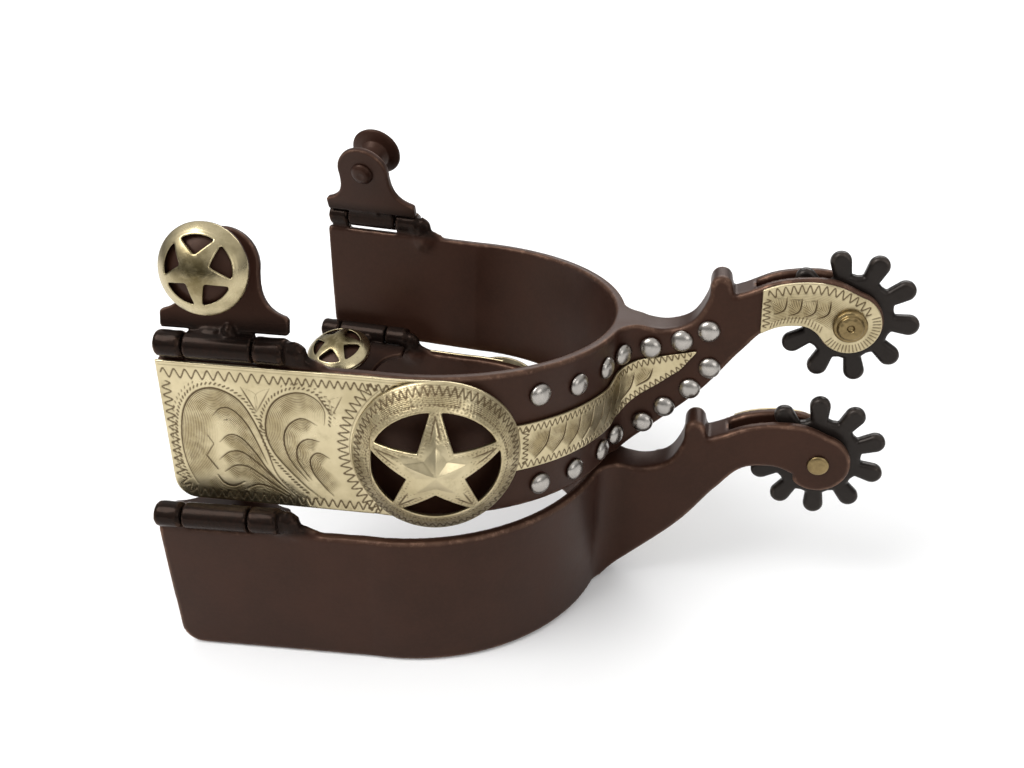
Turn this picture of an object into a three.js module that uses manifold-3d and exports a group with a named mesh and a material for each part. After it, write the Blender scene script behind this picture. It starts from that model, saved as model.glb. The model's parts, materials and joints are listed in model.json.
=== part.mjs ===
// A pair of western show spurs: the left spur stands on the right one.
// Each spur has a forged heel band with a shank, brass overlays, a domed star concho, dome studs,
// a ten-point rowel in the shank's slot, and two hinged strap buttons at the open ends of the band.
// Millimetres, +Z up. The heels point to +X, the toes to -X. The origin lies on the ground plane,
// in the middle of the pair's footprint.
import * as THREE from "three";
import { mergeVertices } from "three/addons/utils/BufferGeometryUtils.js";
import Module from "manifold-3d";

const wasm = await Module();
wasm.setup();

const { degToRad } = THREE.MathUtils;

// ---- Driving dimensions (millimetres and degrees) ----

// Heel band: two flared arms and half an ellipse around the boot's heel.
const BAND_HEIGHT = 34;
const BAND_THICKNESS = 2.6;
const HALF_WIDTH = 46.5;
const HEEL_DEPTH = 47.5;
const ARM_END = -95;
const ARM_FLARE = 4;
const END_SLANT = 0.8;
const END_CORNER_RADIUS = 5;

// Shank: a flat bar behind the heel, slotted for the rowel.
const SHANK_THICKNESS = 9;
const SHANK_FILLET = 7;
const SLOT_WIDTH = 3.8;
const SLOT_START = 29.5;
const PADDLE_RADIUS = 7.4;

// Rowel and its pin.
const ROWEL_X = 50.6;
const ROWEL_Z = 39.8;
const ROWEL_RADIUS = 15.875;
const ROWEL_ROOT = 10.2;
const ROWEL_TEETH = 10;
const TOOTH_WIDTH = 4.7;
const ROWEL_THICKNESS = 2.8;
const ROWEL_PIN_RADIUS = 1.9;
const PIN_CLEARANCE = 0.3;

// Strap hinge on top of each arm's open end. Its axis follows the flared arm.
const HINGE_X = -80.65;
const HINGE_Z = 37.5;
const HINGE_INSET = 0.3;
const BARREL_RADIUS = 2.9;
const BARREL_FRONT = -13.6;
const BARREL_BACK = 14.3;
const KNUCKLE_FRONT = -7;
const KNUCKLE_BACK = 7.5;
const KNUCKLE_GAP = 0.4;
const HINGE_PIN_RADIUS = 1.2;

// Bell-shaped tab and the button on it, measured from the hinge axis.
const TAB_FACE = 0.2;
const TAB_THICKNESS = 2;
const TAB_CENTRE = 0.8;
const TAB_FLANGE_HALF_WIDTH = 13.9;
const TAB_FLANGE_BOTTOM = 3.3;
const TAB_FLANGE_TOP = 7.3;
const TAB_HEAD_HEIGHT = 17.4;
const TAB_HEAD_RADIUS = 7.7;
const STAR_BUTTON = { radius: 9.2, rim: 8.6, dome: 4.3 };
const PLAIN_BUTTON = { radius: 7.3, rim: 9.6, dome: 3.3 };
const CAP_STAR = { ring: 6.85, tip: 10.2, notch: 3.1 };
const RIVET_RADIUS = 1.8;

// Brass overlays.
const PLATE_GAP = 0.2;
const PLATE_THICKNESS = 0.8;
const CONCHO_S = 12.7;
const CONCHO_Z = 16.4;
const CONCHO_RADIUS = 18;
const CONCHO_THICKNESS = 0.9;
const CONCHO_SEAT_RADIUS = 14.8;
const STUD_RADIUS = 2.6;
const STUD_HEIGHT = 1.6;

// How the left spur stands on the right one.
const STACK_SHIFT = new THREE.Vector3(1.7, 6.4, BAND_HEIGHT + 0.45);
const STACK_TILT = { x: -2.24, y: 1.31, z: -0.2 };
// The right spur rests on its near arm and on its concho, which hangs below the band.
const SEAT_TILT = 0.94;
const SEAT_LIFT = 0.83;

// ---- Materials ----

const colours = {
  brown: { color: 0x3b2a24, roughness: 0.45, metalness: 0.6 },
  barrel: { color: 0x241a17, roughness: 0.4, metalness: 0.6 },
  brass: { color: 0xcdbd8c, roughness: 0.35, metalness: 0.9 },
  silver: { color: 0xb8b6b0, roughness: 0.3, metalness: 0.9 },
  iron: { color: 0x2c2523, roughness: 0.5, metalness: 0.7 },
};

// ---- Solids: manifold-3d joins and cuts closed three.js geometry ----

function solidOf(geometry) {
  const bare = geometry.index ? geometry.toNonIndexed() : geometry.clone();
  bare.deleteAttribute("normal");
  bare.deleteAttribute("uv");
  const merged = mergeVertices(bare, 1e-4);
  return new wasm.Manifold(
    new wasm.Mesh({
      numProp: 3,
      vertProperties: new Float32Array(merged.attributes.position.array),
      triVerts: new Uint32Array(merged.index.array),
    }),
  );
}

function geometryOf(solid) {
  const mesh = solid.getMesh();
  const geometry = new THREE.BufferGeometry();
  geometry.setAttribute("position", new THREE.BufferAttribute(mesh.vertProperties, 3));
  geometry.setIndex(new THREE.BufferAttribute(mesh.triVerts, 1));
  return geometry.toNonIndexed();
}

const joined = (first, ...others) =>
  geometryOf(others.reduce((sum, other) => sum.add(solidOf(other)), solidOf(first)));

const cut = (base, ...tools) =>
  geometryOf(tools.reduce((rest, tool) => rest.subtract(solidOf(tool)), solidOf(base)));

const common = (a, b) => geometryOf(solidOf(a).intersect(solidOf(b)));

// The same geometry on the other side of the middle plane, with its faces still pointing out.
function mirrored(geometry) {
  const copy = geometry.index ? geometry.toNonIndexed() : geometry.clone();
  copy.applyMatrix4(new THREE.Matrix4().makeScale(1, -1, 1));
  const position = copy.attributes.position;
  const a = new THREE.Vector3();
  const b = new THREE.Vector3();
  for (let i = 0; i < position.count; i += 3) {
    a.fromBufferAttribute(position, i + 1);
    b.fromBufferAttribute(position, i + 2);
    position.setXYZ(i + 1, b.x, b.y, b.z);
    position.setXYZ(i + 2, a.x, a.y, a.z);
  }
  return copy;
}

// An outline in X and Y, extruded up from z to z + height.
function extrudeUp(shape, z, height, curveSegments = 8) {
  const options = { depth: height, bevelEnabled: false, curveSegments };
  return new THREE.ExtrudeGeometry(shape, options).translate(0, 0, z);
}

// An outline in X and Z, extruded along Y from low to high.
function extrudeAcross(shape, low, high, curveSegments = 8) {
  const options = { depth: high - low, bevelEnabled: false, curveSegments };
  return new THREE.ExtrudeGeometry(shape, options).rotateX(Math.PI / 2).translate(0, high, 0);
}

// A turned solid about the Y axis. The profile lists radius and y, from the axis to the axis.
function turned(profile, segments) {
  const points = profile.map(([radius, y]) => new THREE.Vector2(radius, y));
  return new THREE.LatheGeometry(points, segments);
}

// A cylinder along X between two stations, with chamfered ends.
function barrel(from, to, radius, segments, chamfer = 0) {
  const length = to - from;
  const profile = [[0, 0], [radius - chamfer, 0]];
  if (chamfer > 0) profile.push([radius, chamfer], [radius, length - chamfer]);
  profile.push([radius - chamfer, length], [0, length]);
  return turned(profile, segments).rotateZ(-Math.PI / 2).translate(from, 0, 0);
}

// ---- The outer skin of the decorated side, as a path in X and Y ----
// s is the distance along it. It is 0 where the straight arm meets the ellipse, negative along
// the arm and positive around the heel, through the fillet and along the side of the shank.

const ARM_SLOPE = ARM_FLARE / (-HEEL_DEPTH - ARM_END);
const ARM_ANGLE = Math.atan(ARM_SLOPE);
const SKIN_SAMPLES = 240;

function ellipsePoint(turn, inset = 0) {
  const normal = new THREE.Vector2(Math.sin(turn) / HEEL_DEPTH, -Math.cos(turn) / HALF_WIDTH);
  normal.normalize();
  const skin = new THREE.Vector2(
    -HEEL_DEPTH + HEEL_DEPTH * Math.sin(turn),
    -HALF_WIDTH * Math.cos(turn),
  );
  return skin.addScaledVector(normal, -inset);
}

// The turn at which a fillet of the given radius leaves the ellipse for the shank's side.
function filletTurn() {
  const target = -(SHANK_THICKNESS / 2 + SHANK_FILLET);
  let low = Math.PI / 4;
  let high = Math.PI / 2;
  for (let i = 0; i < 40; i++) {
    const middle = (low + high) / 2;
    if (ellipsePoint(middle, -SHANK_FILLET).y < target) low = middle;
    else high = middle;
  }
  return (low + high) / 2;
}

const FILLET_TURN = filletTurn();
const FILLET_CENTRE = ellipsePoint(FILLET_TURN, -SHANK_FILLET);
const FILLET_START = ellipsePoint(FILLET_TURN).sub(FILLET_CENTRE).angle();

function filletPoint(part) {
  const angle = FILLET_START + (Math.PI / 2 - FILLET_START) * part;
  return new THREE.Vector2(
    FILLET_CENTRE.x + SHANK_FILLET * Math.cos(angle),
    FILLET_CENTRE.y + SHANK_FILLET * Math.sin(angle),
  );
}

const skinPoints = [];
for (let i = 0; i <= SKIN_SAMPLES; i++) skinPoints.push(ellipsePoint((FILLET_TURN * i) / SKIN_SAMPLES));
for (let i = 1; i <= SKIN_SAMPLES / 4; i++) skinPoints.push(filletPoint((4 * i) / SKIN_SAMPLES));
const skinLengths = [0];
for (let i = 1; i < skinPoints.length; i++)
  skinLengths.push(skinLengths[i - 1] + skinPoints[i].distanceTo(skinPoints[i - 1]));
const SKIN_FILLET_START = skinLengths[SKIN_SAMPLES];
const SKIN_FILLET_END = skinLengths[skinLengths.length - 1];

function skinPoint(s) {
  if (s <= 0)
    return new THREE.Vector2(
      -HEEL_DEPTH + s * Math.cos(ARM_ANGLE),
      -HALF_WIDTH + s * Math.sin(ARM_ANGLE),
    );
  if (s >= SKIN_FILLET_END)
    return new THREE.Vector2(FILLET_CENTRE.x + s - SKIN_FILLET_END, -SHANK_THICKNESS / 2);
  let i = 1;
  while (skinLengths[i] < s) i++;
  const part = (s - skinLengths[i - 1]) / (skinLengths[i] - skinLengths[i - 1]);
  return skinPoints[i - 1].clone().lerp(skinPoints[i], part);
}

function skinNormal(s) {
  const reach = 0.4;
  const along = skinPoint(s + reach).sub(skinPoint(s - reach)).normalize();
  return new THREE.Vector2(along.y, -along.x);
}

// A point at distance s along the skin, at height z, standing off by the given distance.
function onSkin(s, z, off) {
  const point = skinPoint(s).addScaledVector(skinNormal(s), off);
  return new THREE.Vector3(point.x, point.y, z);
}

const ARM_LENGTH = (-HEEL_DEPTH - ARM_END) / Math.cos(ARM_ANGLE);

// A closed geometry from vertices and faces; each face lists its corners anticlockwise from outside.
function closedGeometry(vertices, faces) {
  const positions = [];
  for (const face of faces)
    for (let i = 1; i + 1 < face.length; i++)
      for (const corner of [face[0], face[i], face[i + 1]]) positions.push(...vertices[corner].toArray());
  const geometry = new THREE.BufferGeometry();
  geometry.setAttribute("position", new THREE.Float32BufferAttribute(positions, 3));
  return geometry;
}

// A plate lying on the skin between two stations, with its lower and upper edges as functions of s.
function skinStrip(stations, low, high, inner, outer) {
  const vertices = [];
  for (const s of stations)
    vertices.push(
      onSkin(s, low(s), inner),
      onSkin(s, high(s), inner),
      onSkin(s, high(s), outer),
      onSkin(s, low(s), outer),
    );
  const faces = [[0, 3, 2, 1]];
  for (let i = 0; i + 1 < stations.length; i++)
    for (let k = 0; k < 4; k++) {
      const next = (k + 1) % 4;
      faces.push([4 * i + k, 4 * i + next, 4 * i + 4 + next, 4 * i + 4 + k]);
    }
  const last = 4 * (stations.length - 1);
  faces.push([last, last + 1, last + 2, last + 3]);
  return closedGeometry(vertices, faces);
}

// A prism through the skin with the given outline of s and z.
function skinPrism(outline, inner, outer) {
  const count = outline.length;
  const vertices = outline.map(({ x, y }) => onSkin(x, y, inner));
  vertices.push(...outline.map(({ x, y }) => onSkin(x, y, outer)));
  const faces = [];
  for (const [a, b, c] of THREE.ShapeUtils.triangulateShape(outline, [])) {
    faces.push([c, b, a]);
    faces.push([a + count, b + count, c + count]);
  }
  for (let i = 0; i < count; i++) {
    const next = (i + 1) % count;
    faces.push([i, next, next + count, i + count]);
  }
  return closedGeometry(vertices, faces);
}

function stationsBetween(from, to, step) {
  const count = Math.ceil((to - from) / step);
  return Array.from({ length: count + 1 }, (_, i) => from + ((to - from) * i) / count);
}

// ---- Star windows: the five openings between a star's arms and the ring around it ----

function starWindow(index, ring, tip, notch, firstTip) {
  const tipAt = (k) => firstTip + (k * 2 * Math.PI) / 5;
  const polar = (radius, angle) =>
    new THREE.Vector2(radius * Math.cos(angle), radius * Math.sin(angle));
  const notchPoint = polar(notch, tipAt(index + 0.5));
  // Where the edge from the notch to a tip crosses the ring.
  const crossing = (k) => {
    const along = polar(tip, tipAt(k)).sub(notchPoint);
    const a = along.dot(along);
    const b = 2 * notchPoint.dot(along);
    const c = notchPoint.dot(notchPoint) - ring * ring;
    const part = (-b + Math.sqrt(b * b - 4 * a * c)) / (2 * a);
    return notchPoint.clone().addScaledVector(along, part);
  };
  const from = crossing(index);
  const to = crossing(index + 1);
  const arc = [1, 2].map((k) => {
    const sweep = (to.angle() - from.angle() + 2 * Math.PI) % (2 * Math.PI);
    return polar(ring, from.angle() + (sweep * k) / 3);
  });
  return [notchPoint, from, ...arc, to];
}

// ---- Heel band with its shank, hinge knuckles and tails ----

function bandPlan() {
  const outer = [onSkin(-ARM_LENGTH, 0, 0), onSkin(0, 0, 0)];
  const heelSteps = 14;
  for (let i = 1; i <= heelSteps; i++) {
    const turn = (FILLET_TURN * i) / heelSteps;
    outer.push(ellipsePoint(turn));
  }
  for (let i = 1; i <= 5; i++) outer.push(filletPoint(i / 5));
  outer.push(new THREE.Vector2(ROWEL_X + PADDLE_RADIUS + 1, -SHANK_THICKNESS / 2));
  const inner = [];
  const innerSteps = 34;
  for (let i = 0; i <= innerSteps; i++) {
    const turn = -Math.PI / 2 + (Math.PI * i) / innerSteps;
    const side = Math.sign(turn);
    const point = ellipsePoint(Math.PI / 2 - Math.abs(turn), BAND_THICKNESS);
    inner.push(new THREE.Vector2(point.x, side === 0 ? 0 : side * -point.y));
  }
  const end = onSkin(-ARM_LENGTH, 0, -BAND_THICKNESS);
  const flip = (p) => new THREE.Vector2(p.x, -p.y);
  const outline = [
    ...outer.map((p) => new THREE.Vector2(p.x, p.y)),
    ...outer.toReversed().map(flip),
    flip(end),
    ...inner.toReversed(),
    new THREE.Vector2(end.x, end.y),
  ];
  return new THREE.Shape(outline);
}

function sideProfile() {
  const shape = new THREE.Shape();
  const v = (x, z) => new THREE.Vector2(x, z);
  shape.moveTo(ARM_END, BAND_HEIGHT);
  shape.lineTo(ARM_END + END_SLANT, END_CORNER_RADIUS);
  const cornerX = ARM_END + END_SLANT + END_CORNER_RADIUS;
  shape.absarc(cornerX, END_CORNER_RADIUS, END_CORNER_RADIUS, Math.PI, 1.5 * Math.PI);
  shape.lineTo(0.8, 0);
  // Lower edge of the shank, curling up under the neck.
  shape.splineThru([v(10.2, 8.7), v(20, 18.9), v(27.2, 29.1), v(33, 36.2), v(40, 37.9), v(45.3, 36.3)]);
  shape.absarc(ROWEL_X, ROWEL_Z, PADDLE_RADIUS, degToRad(226), degToRad(436));
  shape.splineThru([v(46.5, 49.2), v(40.4, 49.3), v(33.7, 47.9), v(28.2, 45.2), v(24.6, 43.7)]);
  // Chap guard: an upright nub with a round top in front of the neck.
  shape.absarc(21.5, 45.35, 2.5, 0, Math.PI);
  shape.splineThru([v(18.7, 41.5), v(15.6, 35.9), v(9.5, 33.5), v(3.2, 34.1)]);
  shape.lineTo(0, BAND_HEIGHT);
  shape.closePath();
  return shape;
}

// Hinge frame: X along the barrel towards the heel, Y inwards, Z up, origin at the barrel's middle.
function hingeFrame() {
  const middle = onSkin((HINGE_X + HEEL_DEPTH) / Math.cos(ARM_ANGLE), HINGE_Z, -HINGE_INSET);
  return new THREE.Matrix4().makeRotationZ(ARM_ANGLE).setPosition(middle);
}

// What is welded to one arm: two knuckles, the weld under them, and a tail that tapers to the band.
function armKnuckles() {
  const frontEnd = KNUCKLE_FRONT - KNUCKLE_GAP;
  const backStart = KNUCKLE_BACK + KNUCKLE_GAP;
  const front = barrel(BARREL_FRONT, frontEnd, BARREL_RADIUS, 16, 0.6);
  const back = barrel(backStart, BARREL_BACK, BARREL_RADIUS, 16, 0.3);
  const sill = BAND_HEIGHT - HINGE_Z;
  const footInner = BAND_THICKNESS - HINGE_INSET - 0.2;
  const foot = (from, to) => {
    const box = new THREE.BoxGeometry(to - from, footInner + HINGE_INSET, 3);
    return box.translate((from + to) / 2, (footInner - HINGE_INSET) / 2, sill + 0.9);
  };
  const tail = new THREE.Shape([
    new THREE.Vector2(BARREL_BACK - 1, 2.5),
    new THREE.Vector2(BARREL_BACK - 1, sill - 0.6),
    new THREE.Vector2(BARREL_BACK + 7, sill - 0.6),
    new THREE.Vector2(BARREL_BACK + 5.8, sill + 0.3),
    new THREE.Vector2(BARREL_BACK + 2.6, 0.6),
    new THREE.Vector2(BARREL_BACK + 1.2, 2.3),
  ]);
  return [
    front,
    back,
    foot(BARREL_FRONT + 0.8, frontEnd),
    foot(backStart, BARREL_BACK),
    extrudeAcross(tail, -HINGE_INSET, footInner),
  ].map((piece) => piece.applyMatrix4(hingeFrame()));
}

function pinBore() {
  const radius = HINGE_PIN_RADIUS + PIN_CLEARANCE;
  const bore = barrel(BARREL_FRONT - 1, BARREL_BACK - 0.8, radius, 12);
  return bore.applyMatrix4(hingeFrame());
}

function rowelBore(radius) {
  const bore = turned([[0, -10], [radius, -10], [radius, 10], [0, 10]], 16);
  return bore.translate(ROWEL_X, 0, ROWEL_Z);
}

function heelBand() {
  const bodyHeight = 60;
  const plan = extrudeUp(bandPlan(), -1, bodyHeight);
  const side = extrudeAcross(sideProfile(), -60, 60, 4);
  const forged = common(plan, side);
  const knuckles = armKnuckles();
  const welded = joined(forged, ...knuckles, ...knuckles.map(mirrored));
  const slotLength = 40;
  const slot = new THREE.BoxGeometry(slotLength, SLOT_WIDTH, bodyHeight);
  slot.translate(SLOT_START + slotLength / 2, 0, bodyHeight / 2);
  const bore = pinBore();
  return cut(welded, slot, bore, mirrored(bore), rowelBore(ROWEL_PIN_RADIUS + PIN_CLEARANCE / 2));
}

// ---- Overlays ----

const plateOuter = PLATE_GAP + PLATE_THICKNESS;

// Engraved plate on the outer arm, from the open end to under the concho's rim. It is cut away
// behind the concho's windows, where the steel shows.
function bandOverlay() {
  const start = -ARM_LENGTH + 0.3;
  const cornerEnd = start + END_CORNER_RADIUS;
  const corner = [0, 0.15, 0.4, 0.7, 1].map((part) => start + END_SLANT * 0.6 + END_CORNER_RADIUS * part);
  const low = (s) => {
    if (s >= cornerEnd + END_SLANT * 0.6) return 0.1;
    const inside = corner[corner.length - 1] - s;
    return 0.1 + END_CORNER_RADIUS - Math.sqrt(Math.max(0, END_CORNER_RADIUS ** 2 - inside ** 2));
  };
  const stations = [...corner, ...stationsBetween(0, CONCHO_S - 1, 4)];
  const plate = skinStrip(stations, low, () => BAND_HEIGHT - 0.1, PLATE_GAP, plateOuter);
  const seat = new THREE.Path().absarc(CONCHO_S, CONCHO_Z, CONCHO_SEAT_RADIUS, 0, 2 * Math.PI);
  return cut(plate, skinPrism(seat.getPoints(16).slice(0, -1), -0.5, 9));
}

// Leaf-shaped plate around the heel, with its tip turned up on the side of the shank.
// Each edge lists distance along the skin and height.
const LEAF_LOW_EDGE = [[27.5, 10.2], [62, 10.2], [67, 11.8], [77, 19.7], [82, 24.1], [85.2, 28.9]];
const LEAF_HIGH_EDGE = [[27.5, 21.5], [60, 21.5], [66, 23.6], [72, 25.6], [85.2, 29.3]];

function heightOnEdge(edge, s) {
  let i = 1;
  while (i < edge.length - 1 && edge[i][0] < s) i++;
  const [[s0, z0], [s1, z1]] = [edge[i - 1], edge[i]];
  return z0 + ((z1 - z0) * (s - s0)) / (s1 - s0);
}

function leafOverlay() {
  const low = (s) => heightOnEdge(LEAF_LOW_EDGE, s);
  const high = (s) => heightOnEdge(LEAF_HIGH_EDGE, s);
  const stations = stationsBetween(LEAF_LOW_EDGE[0][0], LEAF_LOW_EDGE.at(-1)[0], 2.6);
  return skinStrip(stations, low, high, PLATE_GAP + 0.05, plateOuter + 0.05);
}

// Plate on the outer cheek of the neck, around the rowel pin.
function neckOverlay() {
  const shape = new THREE.Shape();
  const v = (x, z) => new THREE.Vector2(x, z);
  shape.moveTo(30.6, 46);
  shape.lineTo(31.4, 35.4);
  shape.splineThru([v(35.5, 37.6), v(40.5, 38.3), v(46, 36)]);
  shape.absarc(ROWEL_X, ROWEL_Z, PADDLE_RADIUS - 0.5, degToRad(222), degToRad(435));
  shape.splineThru([v(46.2, 48.6), v(40.4, 48.8), v(34.6, 47.7), v(30.6, 46)]);
  const cheek = -SHANK_THICKNESS / 2;
  const plate = extrudeAcross(shape, cheek - plateOuter, cheek - PLATE_GAP, 4);
  return cut(plate, rowelBore(ROWEL_PIN_RADIUS + PIN_CLEARANCE));
}

// Domed round plate with a raised star and five windows.
const CONCHO_DOME = 7.3;
const CONCHO_RING = 12.9;
const CONCHO_STAR_TIP = 16.7;
const CONCHO_STAR_NOTCH = 5.5;
const CONCHO_RIM_OFF = plateOuter + 0.3;

function conchoDome(radius) {
  return CONCHO_DOME * (1 - (radius / CONCHO_RADIUS) ** 2);
}

function starConcho() {
  const sectors = 20;
  // Radii of the dome's mesh rings.
  const radii = [0, CONCHO_STAR_NOTCH, 9.3, CONCHO_RING, 15.6, CONCHO_RADIUS];
  const peak = 1;
  const vertices = [];
  const faces = [];
  const layer = (thickness, withPeak) => {
    const first = vertices.length;
    for (const radius of radii)
      for (let k = 0; k < (radius === 0 ? 1 : sectors); k++) {
        const angle = Math.PI / 2 + (2 * Math.PI * k) / sectors;
        const star = withPeak ? peak * Math.max(0, 1 - radius / CONCHO_STAR_NOTCH) : 0;
        const off = CONCHO_RIM_OFF + thickness + conchoDome(radius) + star;
        const s = CONCHO_S + radius * Math.cos(angle);
        vertices.push(onSkin(s, CONCHO_Z + radius * Math.sin(angle), off));
      }
    return first;
  };
  const inside = layer(0, false);
  const outside = layer(CONCHO_THICKNESS, true);
  const rim = radii.length - 1;
  const upper = (index, k) => outside + 1 + (index - 1) * sectors + (k % sectors);
  const lower = (index, k) => inside + 1 + (index - 1) * sectors + (k % sectors);
  for (let k = 0; k < sectors; k++) {
    const next = k + 1;
    faces.push([outside, upper(1, k), upper(1, next)]);
    faces.push([inside, lower(1, next), lower(1, k)]);
    for (let i = 1; i < rim; i++) {
      faces.push([upper(i, k), upper(i + 1, k), upper(i + 1, next), upper(i, next)]);
      faces.push([lower(i, next), lower(i + 1, next), lower(i + 1, k), lower(i, k)]);
    }
    faces.push([upper(rim, k), lower(rim, k), lower(rim, next), upper(rim, next)]);
  }
  const disc = closedGeometry(vertices, faces);
  const windows = [0, 1, 2, 3, 4].map((index) => {
    const upright = Math.PI / 2;
    const outline = starWindow(index, CONCHO_RING, CONCHO_STAR_TIP, CONCHO_STAR_NOTCH, upright);
    const placed = outline.map((p) => new THREE.Vector2(CONCHO_S + p.x, CONCHO_Z + p.y));
    return skinPrism(placed, 0.2, 13);
  });
  return cut(disc, ...windows);
}

// ---- Dome studs: distance along the skin and height of each one ----

const STUDS_UPPER = [
  [35.9, 27.7], [47, 27], [58.3, 27.1], [66.6, 27.6], [74.4, 29], [81.5, 31.3], [87.4, 34.5],
];
const STUDS_LOWER = [
  [37, 4.9], [47.5, 4.9], [59.2, 4.8], [66.2, 6], [74.2, 8.9], [79, 13.6], [84.6, 19.2], [88.6, 25.2],
];

function stud() {
  const profile = [[0, 0], [STUD_RADIUS, 0], [STUD_RADIUS * 0.8, STUD_HEIGHT * 0.6], [0, STUD_HEIGHT]];
  return turned(profile, 12);
}

// ---- Rowel ----

function rowel() {
  const shape = new THREE.Shape();
  const step = (2 * Math.PI) / ROWEL_TEETH;
  const half = TOOTH_WIDTH / 2;
  const tip = ROWEL_RADIUS - half;
  const at = (angle, out, side) => [
    out * Math.cos(angle) - side * Math.sin(angle),
    out * Math.sin(angle) + side * Math.cos(angle),
  ];
  for (let k = 0; k < ROWEL_TEETH; k++) {
    const angle = k * step;
    if (k === 0) shape.moveTo(...at(angle, ROWEL_ROOT + 0.6, -half * 0.85));
    else shape.lineTo(...at(angle, ROWEL_ROOT + 0.6, -half * 0.85));
    shape.lineTo(...at(angle, tip, -half));
    const [x, y] = at(angle, tip, 0);
    shape.absarc(x, y, half, angle - Math.PI / 2, angle + Math.PI / 2);
    shape.lineTo(...at(angle, ROWEL_ROOT + 0.6, half * 0.85));
    shape.lineTo(...at(angle + step / 2, ROWEL_ROOT - 0.2, 0));
  }
  shape.closePath();
  const wheel = extrudeAcross(shape, -ROWEL_THICKNESS / 2, ROWEL_THICKNESS / 2, 5);
  const radius = ROWEL_PIN_RADIUS + PIN_CLEARANCE;
  return cut(wheel, turned([[0, -5], [radius, -5], [radius, 5], [0, 5]], 16));
}

function rowelPin() {
  const cheek = SHANK_THICKNESS / 2;
  const head = -(cheek + plateOuter + 0.15);
  const profile = [
    [0, head - 1.9], [0.9, head - 2.3], [2.6, head - 2.3], [2.9, head - 1.5], [3.8, head - 1.2],
    [3.8, head], [ROWEL_PIN_RADIUS, head], [ROWEL_PIN_RADIUS, cheek + 0.15], [2.5, cheek + 0.15],
    [2.2, cheek + 0.8], [0, cheek + 0.8],
  ];
  return turned(profile, 16);
}

// ---- Strap hinge: pin, tab, button and star cap, in the hinge frame ----

function hingePin() {
  return barrel(BARREL_FRONT + 0.3, BARREL_BACK - 1.4, HINGE_PIN_RADIUS, 12);
}

function tab() {
  const shape = new THREE.Shape();
  const flange = TAB_FLANGE_HALF_WIDTH;
  const rootFront = KNUCKLE_FRONT - TAB_CENTRE;
  const rootBack = KNUCKLE_BACK - TAB_CENTRE;
  shape.moveTo(rootFront, 0.6);
  shape.lineTo(rootBack, 0.6);
  shape.lineTo(rootBack, TAB_FLANGE_BOTTOM);
  shape.lineTo(flange - 0.4, TAB_FLANGE_BOTTOM);
  shape.lineTo(flange, TAB_FLANGE_BOTTOM + 0.6);
  shape.lineTo(flange, TAB_FLANGE_TOP - 0.6);
  shape.lineTo(flange - 0.6, TAB_FLANGE_TOP);
  const waist = [TAB_HEAD_RADIUS + 0.2, TAB_FLANGE_TOP + 1.4];
  const shoulder = [TAB_HEAD_RADIUS, TAB_HEAD_HEIGHT - 2.5];
  shape.quadraticCurveTo(...waist, ...shoulder);
  shape.absarc(0, TAB_HEAD_HEIGHT, TAB_HEAD_RADIUS, degToRad(-8), degToRad(188));
  shape.lineTo(-shoulder[0], shoulder[1]);
  shape.quadraticCurveTo(-waist[0], waist[1], 0.6 - flange, TAB_FLANGE_TOP);
  shape.lineTo(-flange, TAB_FLANGE_TOP - 0.6);
  shape.lineTo(-flange, TAB_FLANGE_BOTTOM + 0.6);
  shape.lineTo(0.4 - flange, TAB_FLANGE_BOTTOM);
  shape.lineTo(rootFront, TAB_FLANGE_BOTTOM);
  shape.closePath();
  const plate = extrudeAcross(shape, TAB_FACE, TAB_FACE + TAB_THICKNESS, 8).translate(TAB_CENTRE, 0, 0);
  const knuckle = barrel(KNUCKLE_FRONT, KNUCKLE_BACK, BARREL_RADIUS, 16);
  const bore = barrel(-20, 20, HINGE_PIN_RADIUS + PIN_CLEARANCE, 12);
  const radius = RIVET_RADIUS + PIN_CLEARANCE;
  const hole = turned([[0, -5], [radius, -5], [radius, 5], [0, 5]], 16);
  hole.translate(TAB_CENTRE, 0, TAB_HEAD_HEIGHT);
  return cut(joined(plate, knuckle), bore, hole);
}

// Turned pieces of the button have their axis through the tab's head; heights are measured
// outwards from the tab's outer face.
function onTabHead(geometry) {
  return geometry.rotateX(Math.PI).translate(TAB_CENTRE, TAB_FACE, TAB_HEAD_HEIGHT);
}

// Post with a domed disc outside the tab, riveted through it.
function button({ radius, rim, dome }) {
  const under = -TAB_THICKNESS - 0.2;
  const profile = [
    [0, under - 1.5], [2.2, under - 1.2], [3.3, under], [RIVET_RADIUS, under], [RIVET_RADIUS, 0.2],
    [3.7, 0.2], [3.3, 4], [4.2, rim - 1.8], [radius - 0.6, rim - 0.9],
    [radius, rim], [0.64 * radius, rim + 0.6 * dome], [0, rim + dome - 0.7],
  ];
  return onTabHead(turned(profile, 20));
}

// Thin brass dome with a star cut through it, over the button's disc.
function starCap() {
  const { radius, rim, dome } = STAR_BUTTON;
  const base = rim + 0.25;
  const inner = [[0, base + dome - 0.7], [6, base + 0.6 * dome], [radius, base]];
  const outer = [
    [radius + 0.1, base + 0.5], [7.9, base + 0.46 * dome], [4, base + dome - 0.1], [0, base + dome + 0.6],
  ];
  const shell = onTabHead(turned([...inner, ...outer], 20));
  const windows = [0, 1, 2, 3, 4].map((index) => {
    const outline = starWindow(index, CAP_STAR.ring, CAP_STAR.tip, CAP_STAR.notch, -Math.PI / 2);
    const shape = new THREE.Shape(outline);
    return extrudeAcross(shape, -base - 10, TAB_FACE).translate(TAB_CENTRE, 0, TAB_HEAD_HEIGHT);
  });
  return cut(shell, ...windows);
}

// ---- Assembly ----

function mesh(name, geometry, look) {
  geometry.computeVertexNormals();
  const made = new THREE.Mesh(geometry, new THREE.MeshStandardMaterial(colours[look]));
  made.name = name;
  return made;
}

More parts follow.
